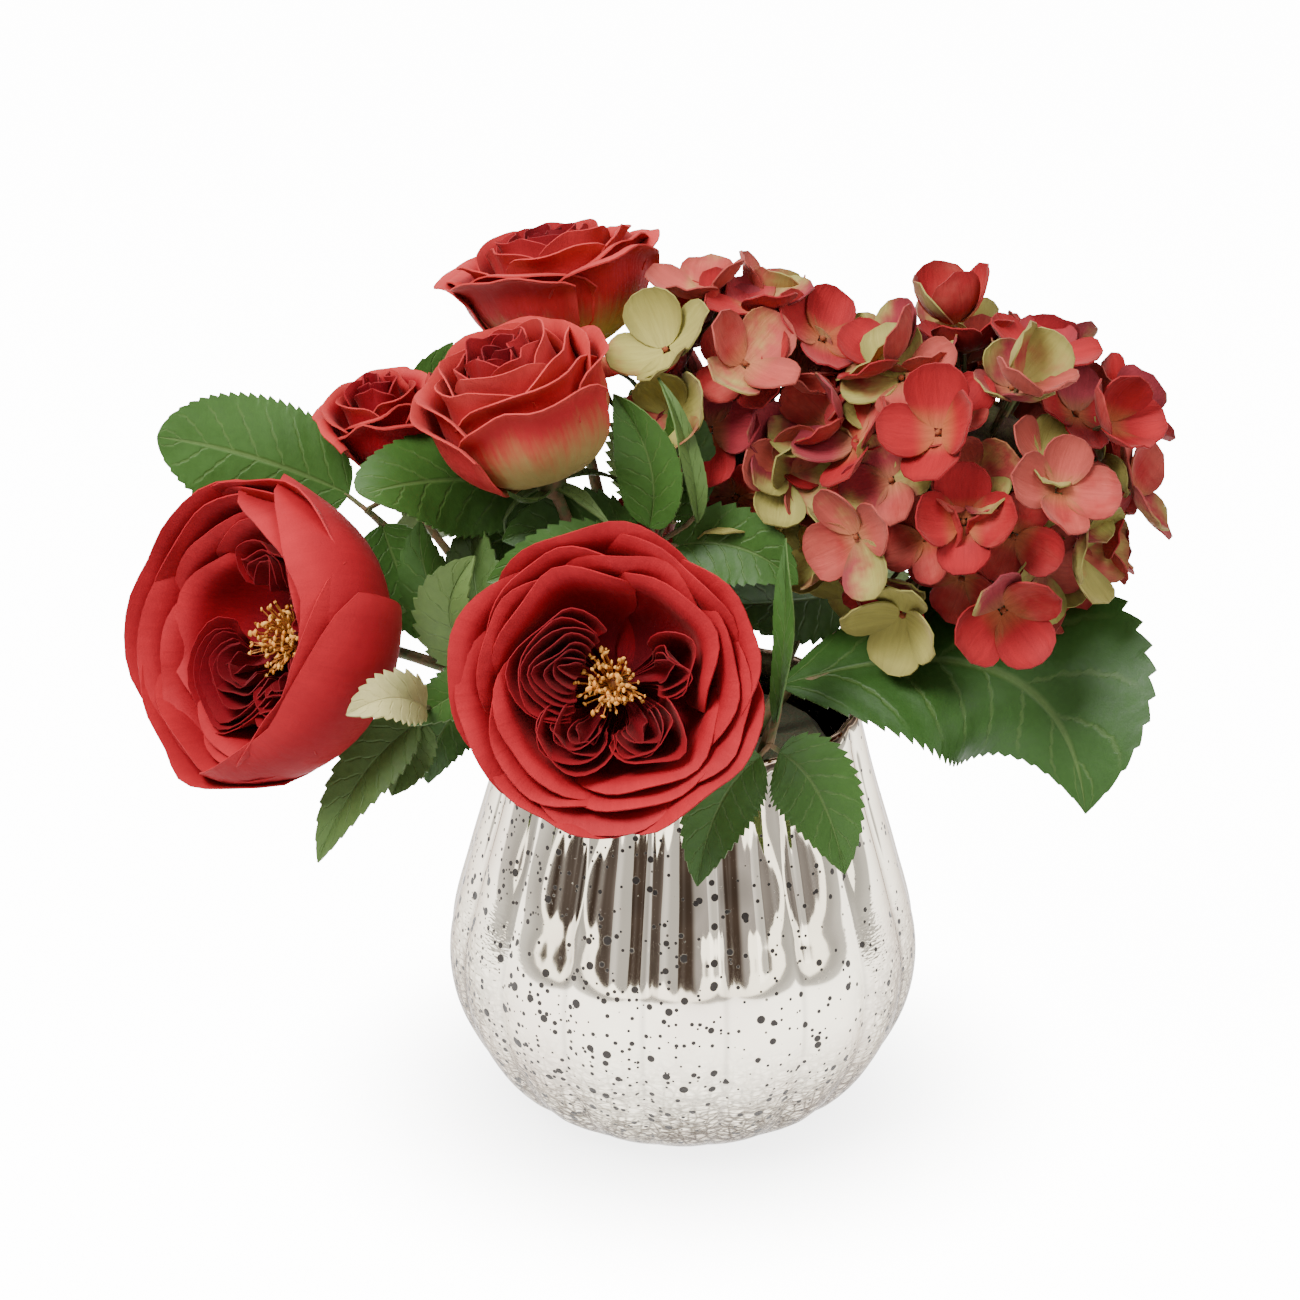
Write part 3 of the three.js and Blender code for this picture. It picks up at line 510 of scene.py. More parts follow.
def arc_at(start, stop, size, t):
    """Where a curve of even bend from angle start to stop (from the axis) has come after t of its length."""
    if abs(stop - start) < 1e-3:
        return size * t * math.sin(start), size * t * math.cos(start)
    bend, now = size / (stop - start), start + (stop - start) * t
    return bend * (math.cos(start) - math.cos(now)), bend * (math.sin(now) - math.sin(start))


def petal_point(petal, u, v):
    """A point on a petal in its bloom's own frame, as in the part's source, with a waved and rolled rim."""
    notch = petal["notch"] * math.exp(-((u / 0.2) ** 2))
    s = v * (1 - petal["round"] * (1 - math.sqrt(1 - 0.96 * u * u)) - notch)
    root, belly, tip = (math.radians(angle) for angle in petal["lean"])
    size = petal["length"]
    out, high = arc_at(root, belly, size * BELLY, min(1, s / BELLY))
    lean = root + (belly - root) * min(1, s / BELLY)
    if s > BELLY:
        t = (s - BELLY) / (1 - BELLY)
        x, z = arc_at(belly, tip, size * (1 - BELLY), t)
        out, high, lean = out + x, high + z, belly + (tip - belly) * t
    out, high = out + petal["root"][0], high + petal["root"][1]
    roll = max(0.0, (v - RIM) / (1 - RIM)) ** 2 + 0.5 * max(0.0, (abs(u) - 0.72) / 0.28) ** 2 * v
    push = petal["spiral"] * u * min(1, s / 0.55)
    ripple = math.sin(4.2 * u + petal["phase"]) + 0.4 * math.sin(8 * u - petal["phase"])
    push += petal["wave"] * s ** 3 * ripple
    push += petal["curl"] * roll
    high -= 0.5 * petal["curl"] * roll
    claw = min(1, 0.35 + 1.4 * s)
    side, around = 0.0, petal["turn"]
    if petal.get("cup"):
        cup = petal["cup"][0] + (petal["cup"][1] - petal["cup"][0]) * s
        wrap = u * math.radians(petal["wrap"]) * claw
        side = cup * math.sin(wrap)
        push -= cup * petal.get("deep", 1.0) * (1 - math.cos(wrap))
    else:
        around += u * math.radians(petal["sector"]) * claw
    radial, z = out + push * math.cos(lean), high - push * math.sin(lean)
    c, d = math.cos(around), math.sin(around)
    return Vector((radial * c - side * d, radial * d + side * c, z))


def ring(count, size, lean, root, spiral, sector=0, **more):
    """The plan of a ring of petals. lean is their angle from the axis at the root, the belly and the tip."""
    return dict(count=count, length=size, lean=lean, root=root, spiral=spiral, sector=sector, **more)


def folded(turn, middle, cups, level=40):
    """Petals folded one inside the other, which open towards the middle of a bloom.

    middle is how far the fold's own axis is from the bloom's, and cups are the folds' radii at the rim.
    """
    plans = []
    for k, cup in enumerate(cups):
        size = (middle + cup - 4) / 0.542
        root = (4, level - 0.6 * k - 0.704 * size)
        plans.append(ring(1, size, (90, 10, 4), root, 0.2, cup=(0.3 * cup, cup), wrap=112, deep=1.05,
                          turns=(turn,), depth=0.4 + 0.07 * k, ripple=1.3))
    return plans


HEART = [*folded(135, 11.5, (20.5, 18, 15.5, 13, 10.5, 8, 5.5, 3)),
         *folded(214, 16.5, (14.5, 12.2, 9.9, 7.6, 5.3, 3)),
         *folded(282, 17, (13.6, 11.2, 8.8, 6.4, 4)),
         *folded(349, 18, (11.8, 9.2, 6.6, 4))]

OPEN_ROSE = {
    "depth": (0.0, 0.02, 0.06, 0.12),
    "rings": [
        ring(5, 66, (100, 18, 42), (4, 2.5), 1.8, 45),
        ring(5, 63, (97, 15, 41), (4, 3), 2, 45),
        ring(5, 59.5, (93, 12, 37), (4, 3.2), 1.9, 46),
        ring(4, 55.5, (88, 9, 31), (4, 3.4), 2.1, 54),
        *HEART,
    ],
}


def past_side(*turns):
    """Turns in degrees that are counted from where the outer petals of the left rose fold over its heart."""
    return [turn - 120 for turn in turns]


BOWL_ROSE = {
    "depth": (0.0, 0.02, 0.0, 0.03, 0.06, 0.12),
    "rings": [
        ring(3, 71, (100, 17, 4), (4, 2.5), 2, 58, turns=past_side(105, 180, 255)),
        ring(4, 66, (97, 13, 8), (4, 3), 2, 56, turns=past_side(95, 155, 215, 270)),
        ring(2, 83, (100, 5, -62), (4, 1.5), 2.2, 64, turns=past_side(-30, 40), ripple=1.7),
        ring(2, 76, (96, 3, -46), (5, 3), 2, 60, turns=past_side(-4, 66), ripple=1.5),
        ring(5, 58, (93, 9, 18), (4, 3.2), 1.9, 46),
        ring(4, 53, (88, 9, 22), (4, 3.4), 2.1, 54),
        *HEART,
    ],
}

CUPPED_ROSE = {
    "depth": (0.0, 0.0, 0.05, 0.15, 0.3, 0.45, 0.55, 0.7, 0.8),
    "rings": [
        ring(2, 46, (100, 66, 150), (3, 1.5), 1.6, 34, turns=(-2, -64), tone=1.0),
        ring(5, 56, (84, 14, 70), (3, 4), 1.8, 43),
        ring(4, 53, (80, 9, 54), (3, 5), 1.9, 50),
        ring(4, 50, (75, 5, 38), (3, 6.5), 2, 52),
        ring(4, 46, (66, 0, 14), (3, 8.5), 2, 52),
        ring(3, 42, (54, -4, 4), (2, 10), 1.7, 66),
        ring(3, 40, (46, -5, -2), (2, 11), 1.7, 68),
        ring(2, 37, (36, -6, -6), (1, 12.5), 1.4, 92),
        ring(2, 34, (26, -6, -6), (1, 13), 1.2, 98),
    ],
}

HALF_ROSE = {
    "depth": (0.0, 0.0, 0.05, 0.15, 0.3, 0.45, 0.6, 0.7),
    "rings": [
        ring(4, 61, (92, -2, 16), (3, 2), 2.1, 54),
        ring(3, 58, (84, -6, 9), (3, 4), 1.9, 68),
        ring(3, 56, (78, -8, 2), (3, 5), 1.8, 70),
        ring(3, 53, (66, -9, -4), (2, 7), 1.8, 70),
        ring(3, 50, (56, -10, -8), (2, 8.5), 1.8, 70),
        ring(3, 47, (42, -8, -8), (1.5, 10.5), 1.6, 70),
        ring(2, 44, (32, -7, -6), (1, 12), 1.4, 96),
        ring(2, 41, (22, -6, -6), (1, 13), 1.4, 102),
    ],
}

BUD = {
    "depth": (0.05, 0.1, 0.2, 0.4, 0.55),
    "rings": [
        ring(4, 35, (80, 2, 44), (2, 1.5), 1.6, 52),
        ring(3, 33, (70, -1, 28), (2, 3), 1.4, 66),
        ring(3, 31, (60, -4, 10), (2, 4), 1.4, 68),
        ring(3, 29, (44, -8, -4), (1, 6.5), 1.2, 68),
        ring(2, 26, (26, -6, -4), (0.5, 9), 1.0, 96),
    ],
}

ROSES = {
    "rose_front": dict(kind=OPEN_ROSE, base=(-21, -59, 180), axis=(-0.14, -0.93, 0.36), roll=20, seed=11,
                       size=1, foot=(-14, -32), through=[(-17, -38, 158)], cloth="deep red cloth"),
    "rose_left": dict(kind=BOWL_ROSE, base=(-119, -17, 178), axis=(-0.65, -0.68, 0.33), roll=65, seed=23,
                      size=1.1, foot=(-40, -12), through=[(-66, -12, 160), (-94, -8, 170)],
                      cloth="deep red cloth"),
    "rose_top": dict(kind=CUPPED_ROSE, base=(-39, 38, 263), axis=(-0.22, 0.1, 0.95), roll=0, seed=37, size=1,
                     foot=(-10, 12), through=[(-20, 20, 180), (-33, 32, 230)], cloth="coral cloth"),
    "rose_half_open": dict(kind=HALF_ROSE, base=(-46, -23, 241), axis=(-0.33, -0.18, 0.92), roll=10, seed=41,
                           size=0.96, foot=(-24, -8), through=[(-30, -14, 180), (-38, -20, 210)],
                           cloth="coral cloth"),
    "rose_bud": dict(kind=BUD, base=(-98, 5, 236), axis=(-0.25, -0.18, 0.95), roll=0, seed=53, size=1,
                     foot=(-42, 8), through=[(-62, 8, 176), (-86, 9, 208)], cloth="bud cloth"),
}

STAMEN_FLOOR = 17.6  # height of the disc of stamens over the foot of a bloom
STAMENS = 110


def bloom_frame(rose):
    turn = UP.rotation_difference(Vector(rose["axis"]).normalized())
    turn = turn @ Quaternion(UP, math.radians(rose["roll"]))
    return Matrix.LocRotScale(Vector(rose["base"]), turn, Vector((1, 1, 1)) * rose["size"])


def petals_of(rose, looks):
    """The petals of a bloom, ring by ring, each a little different."""
    draw = draws(rose["seed"])
    kind = rose["kind"]
    for k, plan in enumerate(kind["rings"]):
        for i in range(plan["count"]):
            turn = plan["turns"][i] if "turns" in plan else 360 * (i + 0.37 * k) / plan["count"]
            depth = plan["depth"] if "depth" in plan else kind["depth"][k]
            yield {
                **plan,
                "turn": math.radians(turn + draw(-4, 4) * plan.get("ripple", 1)),
                "length": plan["length"] * draw(0.97, 1.02 if "cup" not in plan else 1.0),
                "lean": [angle + draw(-1.5, 1.5) for angle in plan["lean"]],
                "round": draw(0.2, 0.32),
                "notch": draw(0.0, 0.05),
                "wave": looks.petal_wave / MM * draw(0.4, 1.2) * plan.get("ripple", 1),
                "curl": looks.rim_curl / MM * (1 - depth) ** 2 * draw(0.3, 1.1),
                "phase": draw(0, 6.2),
                "tone": plan.get("tone", draw(0.1, 0.8)),
                "depth": depth + draw(-0.04, 0.04),
            }


def build_bloom(name, rose, looks):
    place = bloom_frame(rose)
    bm = new_mesh()
    for petal in petals_of(rose, looks):
        columns, rows, cloth = (16, 12, 0.6) if petal.get("cup") else (16, 16, 1)
        sheet(bm, columns, rows, lambda u, v: place @ petal_point(petal, u, v), cloth * looks.petal_cloth,
              petal["tone"], petal["depth"])
    slot = "petals_coral" if rose["cloth"] == "coral cloth" else "petals_deep"
    finish_piece(bm, name + "_petals", [rose["cloth"]], [name + "_bloom"])


def stem_path(foot, through):
    """The same line as the stem in the source takes, from its hole in the foam."""
    top = Vector((*foot, FOAM_TOP + 2))
    slope = (Vector(through[0]) - top).normalized()
    slope.z = max(slope.z, 0.8)
    slope.normalize()
    return [top - slope * depth for depth in (STEM_DEPTH, STEM_DEPTH / 2, 0)] + [Vector(p) for p in through]


def build_rose_stalk(name, rose, looks):
    """Stem, hip and sepals."""
    place = bloom_frame(rose)
    bud = rose["kind"] is BUD
    scale = 0.62 if bud else 0.9
    bm = new_mesh()
    ends = [tuple(place @ Vector((0, 0, z * scale))) for z in (-20, -6)]
    radius = 1.5 if bud else 2.1
    path = smooth_path(stem_path(rose["foot"], [*rose["through"], *ends]), 5)
    tube(bm, path, lambda t: radius * (1 + 0.05 * math.sin(34 * t)), 8, 1)
    hip = [(-11, 1.8), (-10, 2.6), (-8, 4.2), (-5, 6), (-2.5, 6), (-0.4, 5.4)]
    tube(bm, [place @ Vector((0, 0, z * scale)) for z, _ in hip],
         lambda t: hip[round(t * (len(hip) - 1))][1] * scale * rose["size"], 12, 1, 0.2)
    held = rose["kind"] in (BUD, HALF_ROSE)
    for i in range(5):
        lean = (100, 40, 24) if held and i % 2 else (100, 128, 150)
        size = 24 * scale * (1.15 if held else 1)
        sepal = ring(1, size, lean, (3 * scale, -4 * scale), 0, cup=(5, 1.2), wrap=60, wave=0.6, curl=0.4,
                     turn=math.radians(72 * i + 15), phase=i, round=0.62, notch=-0.1)
        sheet(bm, 6, 12, lambda u, v: place @ petal_point(sepal, u, v), looks.leaf_cloth, 0.25)
    finish_piece(bm, name + "_stalk", ["small leaf", "stalk wrap"], [name + "_stem"])


def build_pollen(name, rose):
    """Stamens of an open rose: threads with grains at their ends, round a low disc."""
    place = bloom_frame(rose)
    draw = draws(rose["seed"] + 5)
    bm = new_mesh()
    tube(bm, [place @ Vector((0, 0, STAMEN_FLOOR + z)) for z in (0, 1.6, 2.8)],
         lambda t: (3.2, 2.8, 1.2)[round(2 * t)], 10, 1)
    for i in range(STAMENS):
        turn = GOLDEN_TURN * i + draw(-0.5, 0.5)
        lean = math.radians(2 + 52 * draw(0, 1) ** 0.9)
        way = Vector((math.sin(lean) * math.cos(turn), math.sin(lean) * math.sin(turn), math.cos(lean)))
        start = Vector((2 * math.cos(turn), 2 * math.sin(turn), STAMEN_FLOOR + 1))
        end = start + way * draw(6.5, 13.5)
        middle = (start + end) / 2 + Vector((draw(-1, 1), draw(-1, 1), 0))
        tube(bm, [place @ p for p in (start, middle, end)], 0.26, 4, 1)
        turned = Matrix.Translation(place @ end * MM) @ Matrix.Rotation(draw(0, 3), 4, "XYZ"[i % 3])
        grain = turned @ Matrix.Diagonal((draw(0.8, 1.2), draw(0.7, 1), draw(1.2, 1.9), 1))
        made = bmesh.ops.create_icosphere(bm, subdivisions=1, radius=draw(0.5, 0.9) * MM, matrix=grain)
        for vert in made["verts"]:
            vert[bm.verts.layers.float["tone"]] = draw(0, 1)
    finish_piece(bm, name + "_pollen", ["pollen grain", "pollen thread"], [name + "_stamens"])


# ---------------------------------------------------------------- leaves


def blade(base, bend, tip, face, width, **more):
    """The plan of a leaf, whose midrib bends from base to tip and whose upper side looks along face."""
    return dict(base=base, bend=bend, tip=tip, face=face, width=width, **more)


def spray(foot, radius, through, *leaves):
    return dict(foot=foot, radius=radius, through=through, leaves=leaves)


ROUND = (0.5, 0.6)
SLIM = (0.7, 1)
# The big leaf is fuller than its solid, and its back half is drawn in at the base.
BIG_LEAF = blade((32, -36, 170), (126, -32, 204), (135, -62, 134), (-0.5, -0.45, 0.75), 112,
                 teeth=26, notch=0.055, fold=-8, wave=2, shape=(0.85, 1), sides=((0.78, -0.25), (0.6, 0.55)),
                 cloth=1)

SPRAYS = {
    "upper_left": spray(
        (-34, 24), 1.5, [(-60, 24, 170), (-92, 14, 200), (-110, 6, 219)],
        blade((-116, 8, 224), (-148, 4, 242), (-180, -2, 248), (0.1, -0.9, 0.4), 46,
              teeth=22, notch=0.05, fold=-8, shape=ROUND),
        blade((-98, 16, 222), (-96, 26, 248), (-80, 24, 274), (-0.2, -0.9, 0.3), 24),
        blade((-105, 8, 213), (-100, 5, 196), (-88, 3, 170), (0.1, -0.9, 0.2), 30),
    ),
    "centre": spray(
        (-34, -26), 1.4, [(-38, -22, 170), (-38, -8, 205), (-37, 2, 222)],
        blade((-42, 3, 228), (-84, -17, 242), (-106, -56, 245), (-0.33, -0.84, 0.42), 40,
              teeth=20, notch=0.04, fold=-10, shape=ROUND),
        blade((-44, 4, 222), (-66, 12, 234), (-92, 14, 212), (0, -0.9, 0.3), 30),
        blade((-43, 0, 216), (-62, 1, 214), (-84, -1, 197), (0, -0.9, 0.3), 28),
    ),
    "lower_left": spray(
        (-42, -24), 1.4, [(-53, -36, 161), (-70, -44, 167), (-84, -46, 166)],
        blade((-86, -68, 175), (-94, -88, 191), (-110, -92, 182), (0.1, -0.75, 0.6), 21,
              teeth=10, notch=0.12, pale=1.6),
        blade((-90, -50, 162), (-110, -62, 154), (-124, -64, 117), (-0.5, -0.8, 0.2), 24, pale=0.3),
        blade((-88, -47, 161), (-94, -52, 150), (-99, -56, 138), (0.1, -0.9, 0.2), 18, teeth=9, pale=0.35),
    ),
    "left": spray(
        (-28, -38), 1.3, [(-38, -46, 160), (-60, -42, 174)],
        blade((-70, -38, 180), (-88, -44, 198), (-70, -42, 219), (-0.5, -0.85, 0.1), 28, fold=25, pale=0.45),
        blade((-66, -44, 176), (-78, -54, 175), (-92, -64, 167), (0, -0.8, 0.5), 20),
        blade((-66, -36, 177), (-92, -24, 196), (-90, -14, 222), (-0.3, -0.9, 0.1), 26),
        blade((-64, -38, 172), (-86, -36, 160), (-88, -36, 134), (-0.2, -0.9, 0.1), 26),
        blade((-64, -38, 180), (-74, -24, 200), (-72, -12, 224), (-0.1, -0.9, 0.1), 26, fold=22, pale=0.2),
    ),
    "middle": spray(
        (-2, -18), 1.4, [(-4, -22, 175), (-8, -26, 205), (-10, -28, 218)],
        blade((-12, -33, 226), (-6, -36, 250), (-24, -28, 271), (-0.3, -0.9, 0.2), 25, notch=0.03, fold=20),
        blade((-6, -24, 226), (6, -22, 246), (-4, -14, 268), (0.2, -0.9, 0.2), 22, notch=0.03),
        blade((4, -34, 228), (4, -40, 256), (-9, -26, 276), (0.5, -0.85, 0.2), 9,
              teeth=12, notch=0.03, fold=25, shape=SLIM, pale=0.3),
        blade((-22, -34, 219), (-42, -47, 222), (-66, -48, 212), (0, -0.85, 0.5), 25),
        blade((-16, -24, 216), (-40, -16, 226), (-62, -18, 216), (0, -0.9, 0.3), 30),
        blade((-4, -24, 216), (20, -30, 224), (38, -34, 206), (0.1, -0.9, 0.3), 30),
    ),
    "front": spray(
        (24, -38), 1.6, [(29, -50, 161), (30, -62, 168), (28, -71, 163)],
        blade((25, -74, 160), (8, -79, 150), (4, -83, 117), (-0.1, -0.95, 0.1), 27, teeth=16, notch=0.08),
        blade((31, -73, 161), (46, -79, 156), (53, -82, 121), (0.2, -0.95, 0.1), 32, teeth=16, notch=0.08),
        blade((30, -66, 168), (34, -62, 200), (33, -50, 228), (-0.7, -0.7, 0), 10,
              teeth=12, notch=0.04, fold=20, shape=SLIM),
    ),
    "back_left": spray(
        (-26, 38), 1.5, [(-38, 50, 172), (-50, 60, 198)],
        blade((-54, 63, 204), (-68, 78, 232), (-92, 82, 240), (-0.2, 0.9, 0.4), 40, teeth=18),
        blade((-56, 58, 196), (-84, 62, 206), (-106, 58, 186), (-0.3, 0.8, 0.5), 34, teeth=16),
    ),
    "back": spray(
        (-4, 42), 1.5, [(2, 58, 165), (-2, 68, 184)],
        blade((-6, 72, 192), (-14, 86, 222), (-8, 80, 246), (0, 1, 0.3), 38, teeth=18),
        blade((6, 73, 184), (26, 92, 200), (44, 96, 190), (0.2, 0.8, 0.6), 34, teeth=16),
        blade((-4, 74, 178), (-14, 88, 162), (-16, 86, 130), (0, 1, 0.1), 32, teeth=16),
    ),
    "back_right": spray(
        (32, 28), 1.5, [(48, 44, 168), (62, 56, 180)],
        blade((66, 60, 184), (88, 84, 200), (108, 88, 186), (0.2, 0.8, 0.6), 42, teeth=20),
        blade((66, 62, 178), (76, 76, 166), (80, 80, 140), (0.5, 0.9, 0), 30, teeth=14),
        blade((56, 44, 175), (44, 22, 178), (7, -2, 187), (0.1, -0.9, 0.4), 34),
    ),
}

TOOTH_ROWS = (0.0, 0.34, 0.68, 0.94)  # where a tooth of a leaf's edge has rows of points


def leaf_point(leaf, u, t, tooth):
    """A point on a leaf, as in the part's source, with finer teeth and with cloth raised between veins."""
    a, b, c = (Vector(leaf[key]) for key in ("base", "bend", "tip"))
    rib = a * (1 - t) ** 2 + b * (2 * t * (1 - t)) + c * (t * t)
    along = ((b - a) * (1 - t) + (c - b) * t).normalized()
    across = along.cross(Vector(leaf["face"])).normalized()
    face = across.cross(along).normalized()
    swell, taper = leaf.get("shape", (0.55, 0.85))
    full = swell / (swell + taper)
    shape = (t / full) ** swell * ((1 - t) / (1 - full)) ** taper
    notch = 1.6 * leaf.get("notch", 0.08) * (1 - tooth) * abs(u) ** 5
    start, more = leaf.get("sides", ((1, 0), (1, 0)))[0 if u > 0 else 1]
    half = max(0.4, 0.5 * leaf["width"] * shape * (1 - notch) * (start + more * t))
    fold = math.radians(leaf.get("fold", 12))
    wave = leaf.get("wave", 1.5) * math.sin(7 * t + (1 if u > 0 else 2.2)) * abs(u) * shape
    between = LEAF_VEINS * t - 1.6 * abs(u) ** 0.85
    puff = -0.008 * leaf["width"] * math.cos(2 * math.pi * between) * shape * abs(u) * (1 - abs(u) ** 3)
    groove = -0.02 * leaf["width"] * shape * math.exp(-((u / 0.25) ** 2))
    rise = abs(u) * half * math.sin(fold) + wave + puff + groove
    return rib + across * (u * half * math.cos(fold)) + face * rise


def build_leaf(bm, leaf, looks):
    """A leaf with a toothed edge, its raised midrib below and its stalk."""
    teeth = leaf.get("teeth", 12)
    rows = teeth * len(TOOTH_ROWS)

    def surface(u, v):
        whole, part = divmod(round(v * rows), len(TOOTH_ROWS))
        return leaf_point(leaf, u, min(1.0, (whole + TOOTH_ROWS[part]) / teeth), TOOTH_ROWS[part])

    sheet(bm, 18, rows, surface, looks.leaf_cloth, leaf.get("pale", 0.0), 0.0, 2 * leaf.get("cloth", 0))
    ribs = []
    for t in (0.04, 0.12, 0.25, 0.4, 0.55, 0.7, 0.84):
        across = leaf_point(leaf, 0.05, t, 0) - leaf_point(leaf, -0.05, t, 0)
        along = leaf_point(leaf, 0, t + 0.02, 0) - leaf_point(leaf, 0, t - 0.02, 0)
        ribs.append(leaf_point(leaf, 0, t, 0) - across.cross(along).normalized() * 0.75)
    path = smooth_path([Vector(leaf["from"]), *ribs], 3)
    tube(bm, path, lambda t: 0.95 - 0.65 * t, 6, 1, 0.2)


def build_spray(name, plan, looks):
    bm = new_mesh()
    path = smooth_path(stem_path(plan["foot"], plan["through"]), 5)
    tube(bm, path, lambda t: plan["radius"] * (1.05 - 0.2 * t + 0.05 * math.sin(26 * t)), 8, 1)
    for leaf in plan["leaves"]:
        build_leaf(bm, {"from": plan["through"][-1], **leaf}, looks)
    finish_piece(bm, "leaves_" + name, ["small leaf", "stalk wrap"], ["spray_" + name])


# ---------------------------------------------------------------- hydrangeas


HYDRANGEAS = {
    "hydrangea_right": dict(centre=(96, -5, 231), reach=56, core=38, squash=(1, 1, 1),
                            axis=(0.22, -0.1, 0.97), count=30, cover=128, seed=71, without=(17, 25, 26),
                            foot=(26, -2), through=[(44, -2, 166), (70, -3, 186)], leaf=BIG_LEAF, inner=44,
                            green={28: 1.15, 20: 0.6, -5: 0.7, -6: 0.9},
                            more=((-34, 2, 44), (-46, -14, 26), (-24, -20, 44), (-44, 14, 28),
                                  (-46, -16, -14), (-38, -10, -36))),
    "hydrangea_back": dict(centre=(20, 12, 248), reach=42, core=20, squash=(0.75, 0.85, 1.2),
                           axis=(-0.1, -0.3, 0.95), count=20, cover=140, seed=83,
                           without=(4, 5, 6, 7, 8, 9, 16), foot=(12, 16),
                           through=[(16, 18, 170), (19, 16, 200)], leaf=None, inner=24,
                           green={15: 1.0, 12: 0.9, 10: 0.7, 2: 0.6, 1: 0.55, -4: 1.0, -5: 0.75},
                           more=((26, -14, 34), (32, -8, 8), (22, -26, -8), (-26, -20, 32), (-22, -28, 12))),
}


def florets_of(head):
    """The places of the florets, by the rule in the part's source."""
    draw = draws(head["seed"])
    to_head = UP.rotation_difference(Vector(head["axis"]).normalized())
    for i in range(head["count"]):
        high = 1 - (i + 0.5) / head["count"] * (1 - math.cos(math.radians(head["cover"])))
        turn, flat = GOLDEN_TURN * i, math.sqrt(1 - high * high)
        out = to_head @ Vector((flat * math.cos(turn), flat * math.sin(turn), high))
        tilt = Vector((draw(-0.3, 0.3), draw(-0.3, 0.3), draw(-0.15, 0.4)))
        reach = head["reach"] * (draw(0.98, 1.02) + LAYER * (i % 3 - 1))
        arm = Vector([a * b for a, b in zip(out, head["squash"])]) * reach
        facing = UP.rotation_difference((out + tilt).normalized()) @ Quaternion(UP, draw(0, 1.57))
        size = FLORET * draw(0.92, 1.06)
        if i not in head["without"]:
            yield i, arm, facing, size
    for i, arm in enumerate(map(Vector, head["more"])):
        out = arm.normalized() + Vector((0, -0.3, 0.2))
        yield -1 - i, arm, UP.rotation_difference(out.normalized()), FLORET


def floret_petal(size, turn, lift, wave, u, v):
    """A point on one of a floret's four rounded petals, which stands up from the face by lift degrees."""
    up = 2 * v - 1
    up, over = up * math.sqrt(1 - u * u / 2), u * math.sqrt(1 - up * up / 2)
    v = (1 + up) / 2
    along = size * (0.06 + 0.94 * v)
    y = 0.5 * size * over * (0.9 + 0.14 * up)
    rise = math.radians(lift) * (0.6 + 0.4 * v)
    x, z = along * math.cos(rise), along * math.sin(rise)
    cup = 0.2 * size * (y / (0.5 * size)) ** 2 - 0.06 * size * math.sin(math.pi * v)
    proud = cup + 0.04 * size * math.sin(5 * u + wave) * v ** 3 + 0.13 * size * math.sin(wave) * over * v
    x, z = x - proud * math.sin(rise), z + proud * math.cos(rise)
    c, d = math.cos(turn), math.sin(turn)
    return Vector((x * c - y * d, x * d + y * c, z))


def build_floret(bm, place, size, looks, draw, tone):
    """Four petals round an eye. Two facing petals lie over the other two."""
    lift = draw(5, 36) + (22 if draw(0, 1) > 0.75 else 0)
    for k in range(4):
        turn, wave = math.pi / 2 * k + draw(-0.08, 0.08), draw(0, 6)
        scale = size * draw(0.92, 1.04)
        stand = lift + (7 if k % 2 else 0) + draw(-8, 10)
        sheet(bm, 4, 5, lambda u, v: place @ floret_petal(scale, turn, stand, wave, u, v),
              looks.petal_cloth, tone + draw(-0.2, 0.2), draw(0, 1))
    eye = Matrix.Translation(place @ Vector((0, 0, 1.2)) * MM)
    bmesh.ops.create_icosphere(bm, subdivisions=1, radius=1.2 * MM, matrix=eye)


def build_head(name, head, looks):
    """The head's florets, with smaller ones deeper in, their stalks and the core."""
    centre = Vector(head["centre"])
    draw = draws(head["seed"] + 9)
    bm = new_mesh()
    squash = Matrix.Diagonal((*head["squash"], 1))
    bmesh.ops.create_icosphere(bm, subdivisions=3, radius=0.78 * head["core"] * MM,
                               matrix=Matrix.Translation(centre * MM) @ squash)
    for face in bm.faces:
        face.material_index = 2
    inner = {**head, "reach": head["reach"] * INNER_REACH, "count": head["inner"], "seed": head["seed"] + 4,
             "without": (), "more": ()}
    for plan, scale in ((head, 1.0), (inner, INNER_SIZE)):
        for i, arm, facing, size in florets_of(plan):
            place = Matrix.LocRotScale(centre + arm, facing, Vector((1, 1, 1)))
            tone = draw(-0.12, 0.5) + (0.3 if draw(0, 1) > 0.8 else 0)
            if plan is head:
                tone = max(tone, head["green"].get(i, 0))
            build_floret(bm, place, size * scale, looks, draw, tone)
            root = centre + arm * (STALK_ROOT * head["core"] / head["reach"])
            end = centre + arm - facing @ Vector((0, 0, 0.5))
            tube(bm, [root, (root + centre + arm) / 2, end], 0.8, 5, 1)
    finish_piece(bm, name + "_florets", ["floret cloth", "stalk wrap", "head core"], [name + "_head"])


def build_head_stalk(name, head, looks):
    centre = Vector(head["centre"])
    end = centre - Vector(head["axis"]).normalized() * head["core"] * 0.7 * head["squash"][2]
    bm = new_mesh()
    path = smooth_path(stem_path(head["foot"], [*head["through"], tuple(end)]), 6)
    tube(bm, path, lambda t: 2.6 + 0.2 * math.sin(30 * t), 10, 1)
    if head["leaf"]:
        build_leaf(bm, {"from": head["through"][0], **head["leaf"]}, looks)
    finish_piece(bm, name + "_stalk", ["small leaf", "stalk wrap", "big leaf"], [name + "_stem"])


# ---------------------------------------------------------------- vase


